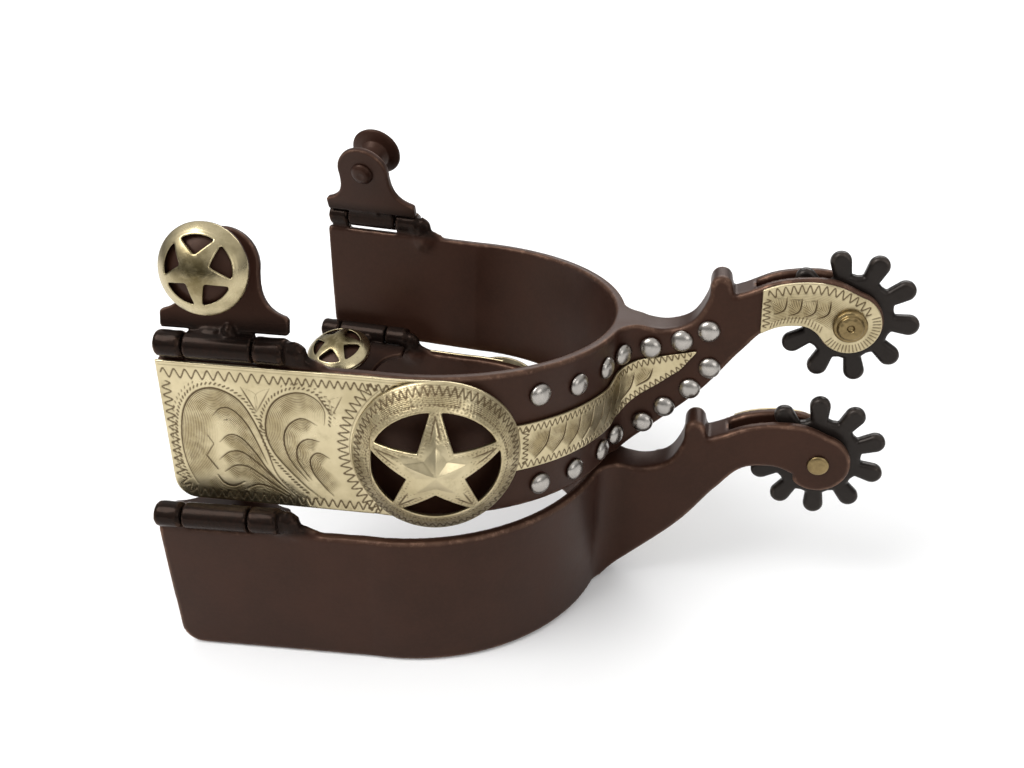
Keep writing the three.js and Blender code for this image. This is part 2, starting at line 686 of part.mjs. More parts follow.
// The hinge of one arm. The inner arm's hinge is the mirror image of the outer arm's.
function strapHinge(name, lean, isInner) {
  const fixed = new THREE.Group();
  fixed.applyMatrix4(hingeFrame());
  fixed.add(mesh(name + "_hinge_pin", hingePin(), "barrel"));
  const swinging = new THREE.Group();
  swinging.rotation.x = -degToRad(lean);
  swinging.add(mesh(name + "_tab", tab(), "brown"));
  swinging.add(mesh(name + "_button", button(isInner ? PLAIN_BUTTON : STAR_BUTTON), "brown"));
  if (!isInner) swinging.add(mesh(name + "_star_cap", starCap(), "brass"));
  fixed.add(swinging);
  const arm = new THREE.Group();
  if (isInner) arm.scale.y = -1;
  arm.add(fixed);
  return arm;
}

// One spur, with its decorated side towards -Y.
function spur(name, outerLean, innerLean, toothAngle) {
  const group = new THREE.Group();
  group.add(mesh(name + "_heel_band", heelBand(), "brown"));
  group.add(mesh(name + "_band_overlay", bandOverlay(), "brass"));
  group.add(mesh(name + "_leaf_overlay", leafOverlay(), "brass"));
  group.add(mesh(name + "_neck_overlay", neckOverlay(), "brass"));
  group.add(mesh(name + "_star_concho", starConcho(), "brass"));
  [...STUDS_UPPER, ...STUDS_LOWER].forEach(([s, z], i) => {
    const inFillet = s > SKIN_FILLET_START - STUD_RADIUS && s < SKIN_FILLET_END + STUD_RADIUS;
    const row = i < STUDS_UPPER.length ? "upper" : "lower";
    const number = i < STUDS_UPPER.length ? i + 1 : i + 1 - STUDS_UPPER.length;
    const piece = mesh(`${name}_stud_${row}_${number}`, stud(), "silver");
    piece.position.copy(onSkin(s, z, inFillet ? 0.75 : 0.2));
    const normal = skinNormal(s);
    piece.quaternion.setFromUnitVectors(
      new THREE.Vector3(0, 1, 0),
      new THREE.Vector3(normal.x, normal.y, 0),
    );
    group.add(piece);
  });
  const wheel = mesh(name + "_rowel", rowel(), "iron");
  wheel.position.set(ROWEL_X, 0, ROWEL_Z);
  wheel.rotation.y = -degToRad(toothAngle);
  group.add(wheel);
  const pin = mesh(name + "_rowel_pin", rowelPin(), "brass");
  pin.position.set(ROWEL_X, 0, ROWEL_Z);
  group.add(pin);
  group.add(strapHinge(name + "_outer", outerLean, false));
  group.add(strapHinge(name + "_inner", innerLean, true));
  return group;
}

const leftSpur = spur("left", 13, 22, 105.8);
leftSpur.position.copy(STACK_SHIFT);
leftSpur.rotation.set(degToRad(STACK_TILT.x), degToRad(STACK_TILT.y), degToRad(STACK_TILT.z), "ZYX");

const rightSpur = spur("right", 109, 99, 94.5);
rightSpur.scale.y = -1;

const group = new THREE.Group();
group.add(rightSpur, leftSpur);
group.rotation.x = degToRad(SEAT_TILT);
group.position.z = SEAT_LIFT;

// The origin is the middle of the pair's footprint.
const footprint = new THREE.Box3().setFromObject(group, true).getCenter(new THREE.Vector3());
group.position.x = -footprint.x;
group.position.y = -footprint.y;

export default group;
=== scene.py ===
"""A pair of western show spurs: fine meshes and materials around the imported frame.

Each piece is built once in the spur's own frame, in millimetres, and placed on the left and the right spur
by matrices worked out from the frame's joints. The spur's own frame has +X towards the rowel, +Z up and its
decorated side towards -Y; the right spur is the mirror image.
"""
import json
import math
from itertools import combinations, product

import bpy
import numpy as np
from mathutils import Matrix, Vector


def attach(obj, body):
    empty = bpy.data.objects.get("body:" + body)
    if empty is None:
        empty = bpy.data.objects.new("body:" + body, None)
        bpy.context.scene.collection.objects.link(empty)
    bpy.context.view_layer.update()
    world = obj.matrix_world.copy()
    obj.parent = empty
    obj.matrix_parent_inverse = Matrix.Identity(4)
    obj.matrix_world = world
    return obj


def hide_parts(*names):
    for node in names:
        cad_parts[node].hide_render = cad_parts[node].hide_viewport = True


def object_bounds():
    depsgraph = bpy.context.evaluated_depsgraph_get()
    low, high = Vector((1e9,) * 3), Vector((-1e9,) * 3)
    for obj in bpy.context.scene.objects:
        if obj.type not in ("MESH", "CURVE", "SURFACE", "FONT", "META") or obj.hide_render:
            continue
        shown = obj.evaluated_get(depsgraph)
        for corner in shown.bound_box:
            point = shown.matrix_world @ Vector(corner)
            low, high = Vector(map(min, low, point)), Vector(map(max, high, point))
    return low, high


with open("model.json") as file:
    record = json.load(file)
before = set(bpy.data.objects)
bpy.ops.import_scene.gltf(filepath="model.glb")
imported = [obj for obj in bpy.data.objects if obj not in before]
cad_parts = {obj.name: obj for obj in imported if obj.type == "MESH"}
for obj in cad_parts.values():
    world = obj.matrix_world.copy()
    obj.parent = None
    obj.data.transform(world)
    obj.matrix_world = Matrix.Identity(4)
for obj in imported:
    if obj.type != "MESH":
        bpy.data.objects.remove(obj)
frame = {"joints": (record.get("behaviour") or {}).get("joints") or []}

CAD_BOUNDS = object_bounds()
MM = 0.001
COARSENING = 1.0

# ---- Driving dimensions of one spur, millimetres and degrees ----

BAND_HEIGHT = 34
BAND_THICKNESS = 2.6
HALF_WIDTH = 46.5
HEEL_DEPTH = 47.5
ARM_END = -95
ARM_FLARE = 4
END_SLANT = 0.8
END_CORNER_RADIUS = 5

SHANK_THICKNESS = 9
SHANK_FILLET = 7
SLOT_WIDTH = 3.8
SLOT_START = 29.5
PADDLE_RADIUS = 7.4

ROWEL_AT = ROWEL_X, ROWEL_Z = 50.6, 39.8
ROWEL_RADIUS = 15.875
ROWEL_ROOT = 10.2
ROWEL_TEETH = 10
TOOTH_WIDTH = 4.7
ROWEL_THICKNESS = 2.8
ROWEL_PIN_RADIUS = 1.9
PIN_CLEARANCE = 0.3

HINGE_X, HINGE_Z = -80.65, 37.5
HINGE_INSET = 0.3
HINGE_BOTTOM = 26
BARREL_RADIUS = 2.9
BARREL_FRONT, BARREL_BACK = -13.6, 14.3
KNUCKLE_FRONT, KNUCKLE_BACK = -7, 7.5
KNUCKLE_GAP = 0.4
HINGE_PIN_RADIUS = 1.2

TAB_FACE = 0.2
TAB_THICKNESS = 2
TAB_CENTRE = 0.8
TAB_FLANGE_HALF_WIDTH = 13.9
TAB_FLANGE_BOTTOM, TAB_FLANGE_TOP = 3.3, 7.3
TAB_HEAD_HEIGHT = 17.4
TAB_HEAD_RADIUS = 7.7
STAR_BUTTON = {"radius": 9.2, "rim": 8.6, "dome": 4.3}
PLAIN_BUTTON = {"radius": 7.3, "rim": 9.6, "dome": 3.3}
CAP_STAR = {"ring": 6.85, "tip": 10.2, "notch": 3.1}
CROWN_SHARE = 0.78
RIVET_RADIUS = 1.8

PLATE_GAP = 0.2
PLATE_THICKNESS = 0.8
PLATE_TOP = PLATE_GAP + PLATE_THICKNESS
CONCHO_AT = CONCHO_S, CONCHO_Z = np.array([12.7, 16.4])
CONCHO_RADIUS = 18
CONCHO_THICKNESS = 0.9
CONCHO_SEAT_RADIUS = 16.6
CONCHO_DOME = 7.0
CONCHO_RING = 12.6
CONCHO_STAR_TIP = 16.7
CONCHO_STAR_NOTCH = 5.5
CONCHO_ARMS = {"tip": 14.2, "notch": 4.2}
CONCHO_ARMS_HEIGHT = 0.4
CONCHO_BOSS = {"tip": 6.2, "notch": 3.6}
CONCHO_BOSS_HEIGHT = 1.1
CONCHO_TARNISH = 0.65
STUD_RADIUS = 2.6
STUD_HEIGHT = 1.6
STUD_SKIRT = 0.22
STUD_STANDOFF, STUD_STANDOFF_IN_FILLET = 0.2, 0.75

# How far each tab leans out from upright at rest, and how far each rowel is turned.
LEAN = {"left_outer": 13, "left_inner": 22, "right_outer": 109, "right_inner": 99}
TOOTH_ANGLE = {"left": 105.8, "right": 94.5}

STUDS_UPPER = [
    (35.9, 27.7), (47, 27), (58.3, 27.1), (66.6, 27.6), (74.4, 29), (81.5, 31.3), (87.4, 34.5),
]
STUDS_LOWER = [
    (37, 4.9), (47.5, 4.9), (59.2, 4.8), (66.2, 6), (74.2, 8.9), (79, 13.6), (84.6, 19.2), (88.6, 25.2),
]
LEAF_LOW_EDGE = [(27.5, 10.2), (62, 10.2), (67, 11.8), (77, 19.7), (82, 24.1), (85.2, 28.9)]
LEAF_HIGH_EDGE = [(27.5, 21.5), (60, 21.5), (66, 23.6), (72, 25.6), (85.2, 29.3)]

# Grid steps of the fine surfaces.
FORGED_STEP = 0.52
SMALL_STEP = 0.26
PLATE_STEP = 0.17
WIDE_PLATE_STEP = 0.205
PLATE_MARGIN = 0.6
ENGRAVE_DEPTH = 0.12
HATCH_PITCH = 0.36


# ---- Curves ----

def through(points, per_span=8):
    """A smooth open curve through the points."""
    p = np.array(points, float)
    out = []
    for i in range(len(p) - 1):
        p0, p1, p2, p3 = p[max(i - 1, 0)], p[i], p[i + 1], p[min(i + 2, len(p) - 1)]
        v0, v1 = (p2 - p0) / 2, (p3 - p1) / 2
        cubic, square = 2 * p1 - 2 * p2 + v0 + v1, -3 * p1 + 3 * p2 - 2 * v0 - v1
        for t in np.arange(per_span) / per_span:
            out.append(cubic * t**3 + square * t**2 + v0 * t + p1)
    return np.array(out + [p[-1]])


def arc(centre, radius, start, end, count=24):
    """Points on a circle's arc between two angles in degrees."""
    turn = np.radians(np.linspace(start, end, count))
    return np.stack([centre[0] + radius * np.cos(turn), centre[1] + radius * np.sin(turn)], 1)


def heading(degrees):
    """The unit vector at an angle, and the one on its left."""
    turn = math.radians(degrees)
    return np.array([math.cos(turn), math.sin(turn)]), np.array([-math.sin(turn), math.cos(turn)])


def closed(outline):
    return np.concatenate([outline, outline[:1]])


def resampled(path, step):
    """The path with points a given distance apart, and the unit normals on its left."""
    path = np.array(path, float)
    along = np.concatenate([[0], np.cumsum(np.linalg.norm(np.diff(path, axis=0), axis=1))])
    count = max(2, int(round(along[-1] / step)) + 1)
    at = np.linspace(0, along[-1], count)
    points = np.stack([np.interp(at, along, path[:, k]) for k in (0, 1)], 1)
    tangent = np.gradient(points, axis=0)
    tangent /= np.linalg.norm(tangent, axis=1, keepdims=True) + 1e-12
    return points, np.stack([-tangent[:, 1], tangent[:, 0]], 1)


# ---- The outer skin of the decorated side, as a path in X and Y ----
# s is 0 where the straight arm meets the heel's ellipse, negative along the arm, positive around the heel.

ARM_ANGLE = math.atan(ARM_FLARE / (-HEEL_DEPTH - ARM_END))
ARM_LENGTH = (-HEEL_DEPTH - ARM_END) / math.cos(ARM_ANGLE)


def ellipse_point(turn, inset=0.0):
    """A point of the heel's ellipse, moved in by the inset; turn 0 is at the arm."""
    normal = np.array([math.sin(turn) / HEEL_DEPTH, -math.cos(turn) / HALF_WIDTH])
    normal /= np.linalg.norm(normal)
    skin = np.array([-HEEL_DEPTH + HEEL_DEPTH * math.sin(turn), -HALF_WIDTH * math.cos(turn)])
    return skin - inset * normal


def fillet_turn():
    """The turn where the fillet leaves the ellipse for the shank's side."""
    low, high = math.pi / 4, math.pi / 2
    for _ in range(40):
        middle = (low + high) / 2
        if ellipse_point(middle, -SHANK_FILLET)[1] < -(SHANK_THICKNESS / 2 + SHANK_FILLET):
            low = middle
        else:
            high = middle
    return (low + high) / 2


FILLET_TURN = fillet_turn()
FILLET_CENTRE = ellipse_point(FILLET_TURN, -SHANK_FILLET)
FILLET_START = math.degrees(math.atan2(*(ellipse_point(FILLET_TURN) - FILLET_CENTRE)[::-1])) % 360
HEEL_PATH = np.array([ellipse_point(FILLET_TURN * i / 400) for i in range(401)])
FILLET_PATH = arc(FILLET_CENTRE, SHANK_FILLET, FILLET_START, 90, 81)[1:]
ARM_TIP = np.array([ARM_END, -HALF_WIDTH - ARM_FLARE])
SHANK_TIP = FILLET_PATH[-1] + np.array([60.0, 0.0])
SKIN_PATH = np.concatenate([[ARM_TIP], HEEL_PATH, FILLET_PATH, [SHANK_TIP]])
SKIN_S = np.concatenate([[0], np.cumsum(np.linalg.norm(np.diff(SKIN_PATH, axis=0), axis=1))]) - ARM_LENGTH
FILLET_FROM = SKIN_S[len(HEEL_PATH)]
FILLET_TO = SKIN_S[len(HEEL_PATH) + len(FILLET_PATH)]


def skin_point(s):
    """Points of the skin at distances s, run straight on beyond its ends."""
    s = np.asarray(s, float)
    point = np.stack([np.interp(s, SKIN_S, SKIN_PATH[:, k]) for k in (0, 1)], -1)
    before = np.minimum(s - SKIN_S[0], 0)[..., None]
    return point + before * np.array([math.cos(ARM_ANGLE), math.sin(ARM_ANGLE)])


def on_skin(points):
    """Points given as distance along the skin, height and stand-off, as X, Y and Z."""
    s, z, off = points[:, 0], points[:, 1], points[:, 2]
    along = skin_point(s + 0.4) - skin_point(s - 0.4)
    along /= np.linalg.norm(along, axis=1, keepdims=True)
    base = skin_point(s)
    return np.stack([base[:, 0] + off * along[:, 1], base[:, 1] - off * along[:, 0], z], 1)


# ---- Signed distances on a grid, negative inside the solid ----

def rounded(a, b, radius):
    """The overlap of two solids with its edge rounded off."""
    inner = np.minimum(np.maximum(a + radius, b + radius), 0)
    return inner + np.hypot(np.maximum(a + radius, 0), np.maximum(b + radius, 0)) - radius


def soft_min(a, b, reach):
    """Two solids joined, with a fillet of about the given reach."""
    if not reach:
        return np.minimum(a, b)
    part = np.clip(0.5 + 0.5 * (b - a) / reach, 0, 1)
    return b + (a - b) * part - reach * part * (1 - part)


def outline_distance(outline, u, v):
    """Signed distance to a closed outline on the grid of u and v."""
    a = np.array(outline, float)
    b = np.roll(a, -1, axis=0)
    grid_u, grid_v = np.meshgrid(u.astype(np.float32), v.astype(np.float32), indexing="ij")
    best = np.full(grid_u.shape, 1e9, np.float32)
    inside = np.zeros(grid_u.shape, bool)
    for (au, av), (bu, bv) in zip(a, b):
        eu, ev = bu - au, bv - av
        square = eu * eu + ev * ev
        if square < 1e-12:
            continue
        wu, wv = grid_u - au, grid_v - av
        part = np.clip((wu * eu + wv * ev) / square, 0, 1)
        best = np.minimum(best, (wu - part * eu) ** 2 + (wv - part * ev) ** 2)
        if ev != 0:
            crosses = (av > grid_v) != (bv > grid_v)
            inside ^= crosses & (wu < wv * (eu / ev))
    return np.where(inside, -np.sqrt(best), np.sqrt(best))


def cylinder(x, y, z, start, end, radius, edge):
    """A cylinder along X with rounded ends."""
    return rounded(np.hypot(y, z) - radius, np.maximum(start - x, x - end), edge)


def blob(x, y, z, centre, size):
    """An ellipsoid, as a lump of weld."""
    scaled = [(axis - c) / r for axis, c, r in zip((x, y, z), centre, size)]
    return (np.sqrt(sum(part**2 for part in scaled)) - 1) * min(size)


def lumps(x, y, z, pitch):
    """A smooth uneven field between about -1 and 1, for weld and hammer marks."""
    k = 2 * math.pi / pitch
    return (
        np.sin(k * (x + 0.31 * y)) * np.sin(k * (0.83 * y + 0.47 * z) + 1.3)
        + np.sin(1.7 * k * (z - 0.26 * x) + 0.7) * np.sin(1.4 * k * (x + 0.6 * y) + 2.1)
    ) / 2


EVERYWHERE = ((-1e4,) * 3, (1e4,) * 3)


class Field:
    """A box of signed distances in millimetres."""

    def __init__(self, low, high, step):
        self.step = np.broadcast_to(np.array(step, float) * COARSENING, 3)
        self.low = np.array(low, float)
        counts = np.ceil((np.array(high, float) - self.low) / self.step).astype(int) + 1
        self.axes = [self.low[k] + self.step[k] * np.arange(counts[k]) for k in range(3)]
        self.value = np.full(counts, 1e3, np.float32)

    def window(self, low, high):
        """The part of the grid in a box, as slices and as X, Y and Z."""
        spans = tuple(slice(*np.searchsorted(axis, ends)) for axis, *ends in zip(self.axes, low, high))
        x, y, z = (axis[span] for axis, span in zip(self.axes, spans))
        return spans, (x[:, None, None], y[None, :, None], z[None, None, :])

    def join(self, solid, box=EVERYWHERE, reach=0.0):
        """Adds a solid, given as a function of X, Y and Z, with a fillet of the given reach."""
        spans, grid = self.window(*box)
        self.value[spans] = soft_min(self.value[spans], solid(*grid), reach)

    def cut(self, solid, box=EVERYWHERE, edge=0.0):
        """Takes a solid away, with the edge that this leaves rounded off."""
        spans, grid = self.window(*box)
        self.value[spans] = -soft_min(-self.value[spans], solid(*grid), edge)

    def surface(self):
        """Points and quads of the surface where the distance is zero, facing out."""
        field, inside = self.value, self.value < 0
        shape = np.array(field.shape) - 1
        offsets = np.array(list(product((0, 1), repeat=3)))

        def corner(array, offset):
            return array[tuple(slice(o, o + n) for o, n in zip(offset, shape))]

        count = sum(corner(inside, offset).astype(np.uint8) for offset in offsets)
        active = (count > 0) & (count < 8)
        cells = np.argwhere(active)
        values = [corner(field, offset)[active].astype(float) for offset in offsets]
        total, number = np.zeros((len(cells), 3)), np.zeros(len(cells))
        for a, b in combinations(range(8), 2):
            way = offsets[b] - offsets[a]
            if np.abs(way).sum() != 1:
                continue
            crossing = (values[a] < 0) != (values[b] < 0)
            part = values[a] / np.where(crossing, values[a] - values[b], 1)
            total += np.where(crossing[:, None], offsets[a] + part[:, None] * way, 0)
            number += crossing
        points = self.low + (cells + total / number[:, None]) * self.step
        index = np.full(shape, -1, np.int64)
        index[active] = np.arange(len(cells))
        quads = []
        unit = np.eye(3, dtype=int)
        for axis in range(3):
            u, v = unit[(axis + 1) % 3], unit[(axis + 2) % 3]
            near, far = [slice(1, -1)] * 3, [slice(1, -1)] * 3
            near[axis], far[axis] = slice(0, -1), slice(1, None)
            before, after = inside[tuple(near)], inside[tuple(far)]
            edges = np.argwhere(before != after)
            flip = after[tuple(edges.T)]
            quad = np.stack([index[tuple((edges + step).T)] for step in (0 * u, u, u + v, v)], 1)
            quad[flip] = quad[flip][:, ::-1]
            quads.append(quad)
        return points, np.concatenate(quads)


# ---- A shape: points, faces and per-point attributes, in millimetres ----

class Shape:
    def __init__(self, points, faces, **attributes):
        self.points = np.array(points, float)
        self.faces = faces
        self.attributes = attributes

    def links(self):
        """Each edge of each quad, both ways."""
        quads = np.array(self.faces)
        pairs = np.concatenate([quads[:, [k, (k + 1) % 4]] for k in range(4)])
        return np.concatenate([pairs, pairs[:, ::-1]])

    def around(self, values, links):
        """The mean of each point's neighbours."""
        count = np.bincount(links[:, 0], minlength=len(self.points)).clip(1)
        sums = [
            np.bincount(links[:, 0], values[links[:, 1], k], len(self.points)) for k in range(values.shape[1])
        ]
        return np.stack(sums, 1) / count[:, None]

    def smoothed(self, rounds):
        """Evens out the grid's steps without shrinking the shape."""
        links = self.links()
        for _ in range(rounds):
            for share in (0.5, -0.52):
                self.points += share * (self.around(self.points, links) - self.points)
        return self

    def with_edges(self):
        """Adds "edge": how sharply convex the surface is at each point."""
        links = self.links()
        quads = np.array(self.faces)
        p = self.points
        face = np.cross(p[quads[:, 2]] - p[quads[:, 0]], p[quads[:, 3]] - p[quads[:, 1]])
        normal = np.zeros_like(p)
        for k in range(4):
            for axis in range(3):
                normal[:, axis] += np.bincount(quads[:, k], face[:, axis], len(p))
        normal /= np.linalg.norm(normal, axis=1, keepdims=True) + 1e-12
        way = p - self.around(p, links)
        reach = np.linalg.norm(p[links[:, 0]] - p[links[:, 1]], axis=1)
        spacing = np.bincount(links[:, 0], reach, len(p)) / np.bincount(links[:, 0], minlength=len(p)).clip(1)
        convex = ((way * normal).sum(1) / (spacing + 1e-9))[:, None]
        for _ in range(3):
            convex = 0.5 * convex + 0.5 * self.around(convex, links)
        self.attributes["edge"] = convex[:, 0]
        return self


def turned(profile, segments=96):
    """A turned solid about Y, from a profile of radius and y that starts and ends on the axis."""
    segments = max(24, int(segments / COARSENING))
    profile = np.array(profile, float)
    rings = profile[1:-1]
    turn = 2 * math.pi * np.arange(segments) / segments
    points = [(0, profile[0, 1], 0)]
    for radius, y in rings:
        points += [(radius * math.cos(t), y, radius * math.sin(t)) for t in turn]
    points.append((0, profile[-1, 1], 0))
    last = len(points) - 1
    faces = []
    for k in range(segments):
        n = (k + 1) % segments
        faces.append((0, 1 + k, 1 + n))
        for r in range(len(rings) - 1):
            a, b = 1 + r * segments, 1 + (r + 1) * segments
            faces.append((a + k, b + k, b + n, a + n))
        a = 1 + (len(rings) - 1) * segments
        faces.append((last, a + n, a + k))
    return Shape(points, faces)


def eased(profile, radius=0.25):
    """A profile with its corners rounded off and its long stretches divided."""
    p = np.array(profile, float)
    out = [p[0]]
    for a, b, c in zip(p, p[1:], p[2:]):
        to_a, to_c = a - b, c - b
        cut = min(radius, np.linalg.norm(to_a) / 2.2, np.linalg.norm(to_c) / 2.2)
        start = b + to_a / np.linalg.norm(to_a) * cut
        end = b + to_c / np.linalg.norm(to_c) * cut
        for t in np.linspace(0, 1, 5):
            out.append((1 - t) ** 2 * start + 2 * t * (1 - t) * b + t**2 * end)
    out.append(p[-1])
    return np.array(out)


# ---- Hand engraving: depth of cut on a grid over a plate ----

def from_segment(u, v, a, b):
    """How far points lie from a segment, where along it they are nearest, and how far to its left."""
    (eu, ev), wu, wv = b - a, u - a[0], v - a[1]
    part = np.clip((wu * eu + wv * ev) / (eu * eu + ev * ev + 1e-12), 0, 1)
    return np.hypot(wu - part * eu, wv - part * ev), part, eu * wv - ev * wu


class Engraving:
    """Depth of cut, and where fine hatching lies: how strong it is and how many lines away from its path."""

    def __init__(self, u, v):
        self.u, self.v = u, v
        self.depth, self.hatch, self.lines = (np.zeros((len(u), len(v)), np.float32) for _ in range(3))

    def window(self, low, high):
        """The part of the grid in a rectangle, as slices and as u and v."""
        span_u = slice(*np.searchsorted(self.u, (low[0], high[0])))
        span_v = slice(*np.searchsorted(self.v, (low[1], high[1])))
        return (span_u, span_v), self.u[span_u][:, None], self.v[span_v][None, :]

    def groove(self, path, width=0.24, depth=1.0, taper=False):
        """Cuts a line along the path; a tapered one thins out at both ends."""
        points, _ = resampled(path, 0.3)
        count = len(points) - 1
        for i, (a, b) in enumerate(zip(points, points[1:])):
            swell = math.sin(math.pi * (i + 0.5) / count) ** 0.6 if taper else 1
            self.stroke(a, b, width * (0.55 + 0.45 * swell), depth * (0.5 + 0.5 * swell))

    def stroke(self, a, b, reach, depth):
        """Cuts one short straight piece of a line."""
        spans, u, v = self.window(np.minimum(a, b) - reach, np.maximum(a, b) + reach)
        if u.size and v.size:
            far, _, _ = from_segment(u, v, a, b)
            self.depth[spans] = np.maximum(self.depth[spans], depth * np.clip(1 - (far / reach) ** 2, 0, 1))

    def zigzag(self, path, height, period, width=0.22, depth=0.9):
        """A wriggle cut that swings from side to side of the path."""
        points, normals = resampled(path, 0.12)
        run = np.linspace(0, 1, len(points))
        length = 0.12 * (len(points) - 1)
        phase = 2 * math.pi * run * max(1, round(length / period))
        wave = 0.6 * np.arcsin(np.sin(phase)) / (math.pi / 2) + 0.4 * np.sin(phase)
        self.groove(points + normals * (wave * height / 2)[:, None], width, depth)

    def punches(self, path, spacing, offset, radius=0.26, depth=0.9, dash=0.05):
        """A row of small punched marks beside the path, as dots or as slanted dashes."""
        points, normals = resampled(path, spacing)
        for point, (across, down) in zip(points, normals):
            at = point + offset * np.array([across, down])
            slant = np.array([across + down, down - across]) * 0.7
            self.stroke(at - dash / 2 * slant, at + dash / 2 * slant, radius, depth)

    def hatched(self, path, width, start=0.0, end=1.0, strength=1.0, pitch=HATCH_PITCH):
        """Fine lines that follow the path on its left, or on its right if the width is negative."""
        points, _ = resampled(path, 0.6)
        reach = abs(width)
        spans, u, v = self.window(points.min(0) - reach, points.max(0) + reach)
        best = np.full((u.size, v.size), 1e9)
        left, along = np.zeros_like(best), np.zeros_like(best)
        for i, (a, b) in enumerate(zip(points, points[1:])):
            far, part, side = from_segment(u, v, a, b)
            nearer = far < best
            best = np.where(nearer, far, best)
            left = np.where(nearer, side, left)
            along = np.where(nearer, (i + part) / (len(points) - 1), along)
        ends = np.clip((along - start) / 0.06, 0, 1) * np.clip((end - along) / 0.12, 0, 1)
        new = strength * ends * np.clip((reach - best) / (0.45 * reach), 0, 1) * (left * width > 0)
        stronger = new > self.hatch[spans]
        self.lines[spans][stronger] = best[stronger] / pitch
        self.hatch[spans][stronger] = new[stronger]

    def stipple(self, centre, inner, outer, count):
        """Punched dots spread evenly over a ring."""
        for k in range(count):
            far = math.sqrt(inner**2 + (outer**2 - inner**2) * ((k * 0.7548777) % 1))
            turn = math.radians(360 * ((k * 0.5698403) % 1))
            at = np.array([centre[0] + far * math.cos(turn), centre[1] + far * math.sin(turn)])
            self.stroke(at, at + 0.05, 0.2, 0.75)

    def at(self, field, u, v):
        """A field's value at scattered points, between the grid's own values."""
        fu = np.clip((u - self.u[0]) / (self.u[1] - self.u[0]), 0, len(self.u) - 1.001)
        fv = np.clip((v - self.v[0]) / (self.v[1] - self.v[0]), 0, len(self.v) - 1.001)
        i, j = fu.astype(int), fv.astype(int)
        a, b = fu - i, fv - j
        low = field[i, j] * (1 - b) + field[i, j + 1] * b
        high = field[i + 1, j] * (1 - b) + field[i + 1, j + 1] * b
        return low * (1 - a) + high * a


def engraved_plate(outline, engrave, low_off, top, step=PLATE_STEP, edge=0.22, windows=(), relief=None):
    """A plate over an outline of u and v, with engraving on top, as a Shape of u, v and stand-off.
    relief gives a dome's height at u and v, which both faces follow."""
    outline = np.array(outline, float)
    low, high = outline.min(0) - PLATE_MARGIN, outline.max(0) + PLATE_MARGIN
    rise = 0.0 if relief is None else float(relief(*outline.mean(0))) + 0.5
    field = Field((*low, low_off - 0.5), (*high, top + 0.5 + rise), (step, step, 0.14))
    u, v, w = field.axes
    flat = outline_distance(outline, u, v)
    for window in windows:
        flat = -soft_min(-flat, outline_distance(window, u, v), 0.3)
    engraving = Engraving(u, v)
    engrave(engraving)
    base = np.zeros_like(flat) if relief is None else relief(u[:, None], v[None, :])
    face = (base + top - ENGRAVE_DEPTH * engraving.depth)[:, :, None]
    under = (base * 0.96 + low_off)[:, :, None] if relief is not None else low_off
    layer = np.maximum(w[None, None, :] - face, under - w[None, None, :])
    field.value = rounded(flat[:, :, None], layer, edge).astype(np.float32)
    points, quads = field.surface()
    at_u, at_v, off = points.T
    base_at = 0 if relief is None else relief(at_u, at_v)
    on_top = np.clip((off - base_at - (low_off + top) / 2) * 4, 0, 1)
    return Shape(
        points, quads, engrave=engraving.at(engraving.depth, at_u, at_v) * on_top,
        hatch=engraving.at(engraving.hatch, at_u, at_v) * on_top,
        lines=engraving.at(engraving.lines, at_u, at_v),
    )


# ---- Heel band with its shank, hinge knuckles and welds ----

def plan_outline():
    """The band and the forked shank seen from above."""
    tip_x = ROWEL_X + PADDLE_RADIUS + 1
    outer = [ARM_TIP, *HEEL_PATH[::8], *FILLET_PATH[::6], (tip_x, -SHANK_THICKNESS / 2)]
    outer = np.array(outer)
    slot = np.array([(tip_x, -SLOT_WIDTH / 2), (SLOT_START, -SLOT_WIDTH / 2)])
    inner = [ellipse_point(math.pi / 2 * i / 60, BAND_THICKNESS) for i in range(61)]
    arm_inside = ARM_TIP + BAND_THICKNESS * np.array([-math.sin(ARM_ANGLE), math.cos(ARM_ANGLE)])
    flip = np.array([1, -1])
    inner = np.array([arm_inside, *inner])
    return np.concatenate([outer, slot, slot[::-1] * flip, outer[::-1] * flip, inner * flip, inner[-2::-1]])


def side_outline():
    """The band, shank, neck and chap guard seen from the side."""
    corner = (ARM_END + END_SLANT + END_CORNER_RADIUS, END_CORNER_RADIUS)
    under = [(0.8, 0), (10.2, 8.7), (20, 18.9), (27.2, 29.1), (33, 36.2), (40, 37.9), (45.3, 36.3)]
    paddle = arc(ROWEL_AT, PADDLE_RADIUS, 226, 436, 40)
    nub = arc((21.5, 45.35), 2.5, 0, 180, 24)
    return np.concatenate([
        [(ARM_END, BAND_HEIGHT)],
        arc(corner, END_CORNER_RADIUS, 180, 270, 12),
        through(under, 6),
        paddle,
        through([paddle[-1], (46.5, 49.2), (40.4, 49.3), (33.7, 47.9), (28.2, 45.2), (24.6, 43.7)], 6),
        nub,
        through([nub[-1], (18.7, 41.5), (15.6, 35.9), (9.5, 33.5), (3.2, 34.1)], 6)[1:],
        [(0, BAND_HEIGHT)],
    ])


HINGE_AT = skin_point((HINGE_X + HEEL_DEPTH) / math.cos(ARM_ANGLE)) + HINGE_INSET * np.array(
    [-math.sin(ARM_ANGLE), math.cos(ARM_ANGLE)]
)


def in_hinge_frame(x, y, z):
    """X along the barrel, Y inwards and Z up, from the barrel's middle."""
    cos, sin = math.cos(ARM_ANGLE), math.sin(ARM_ANGLE)
    dx, dy = x - HINGE_AT[0], y - HINGE_AT[1]
    return cos * dx + sin * dy, -sin * dx + cos * dy, z - HINGE_Z


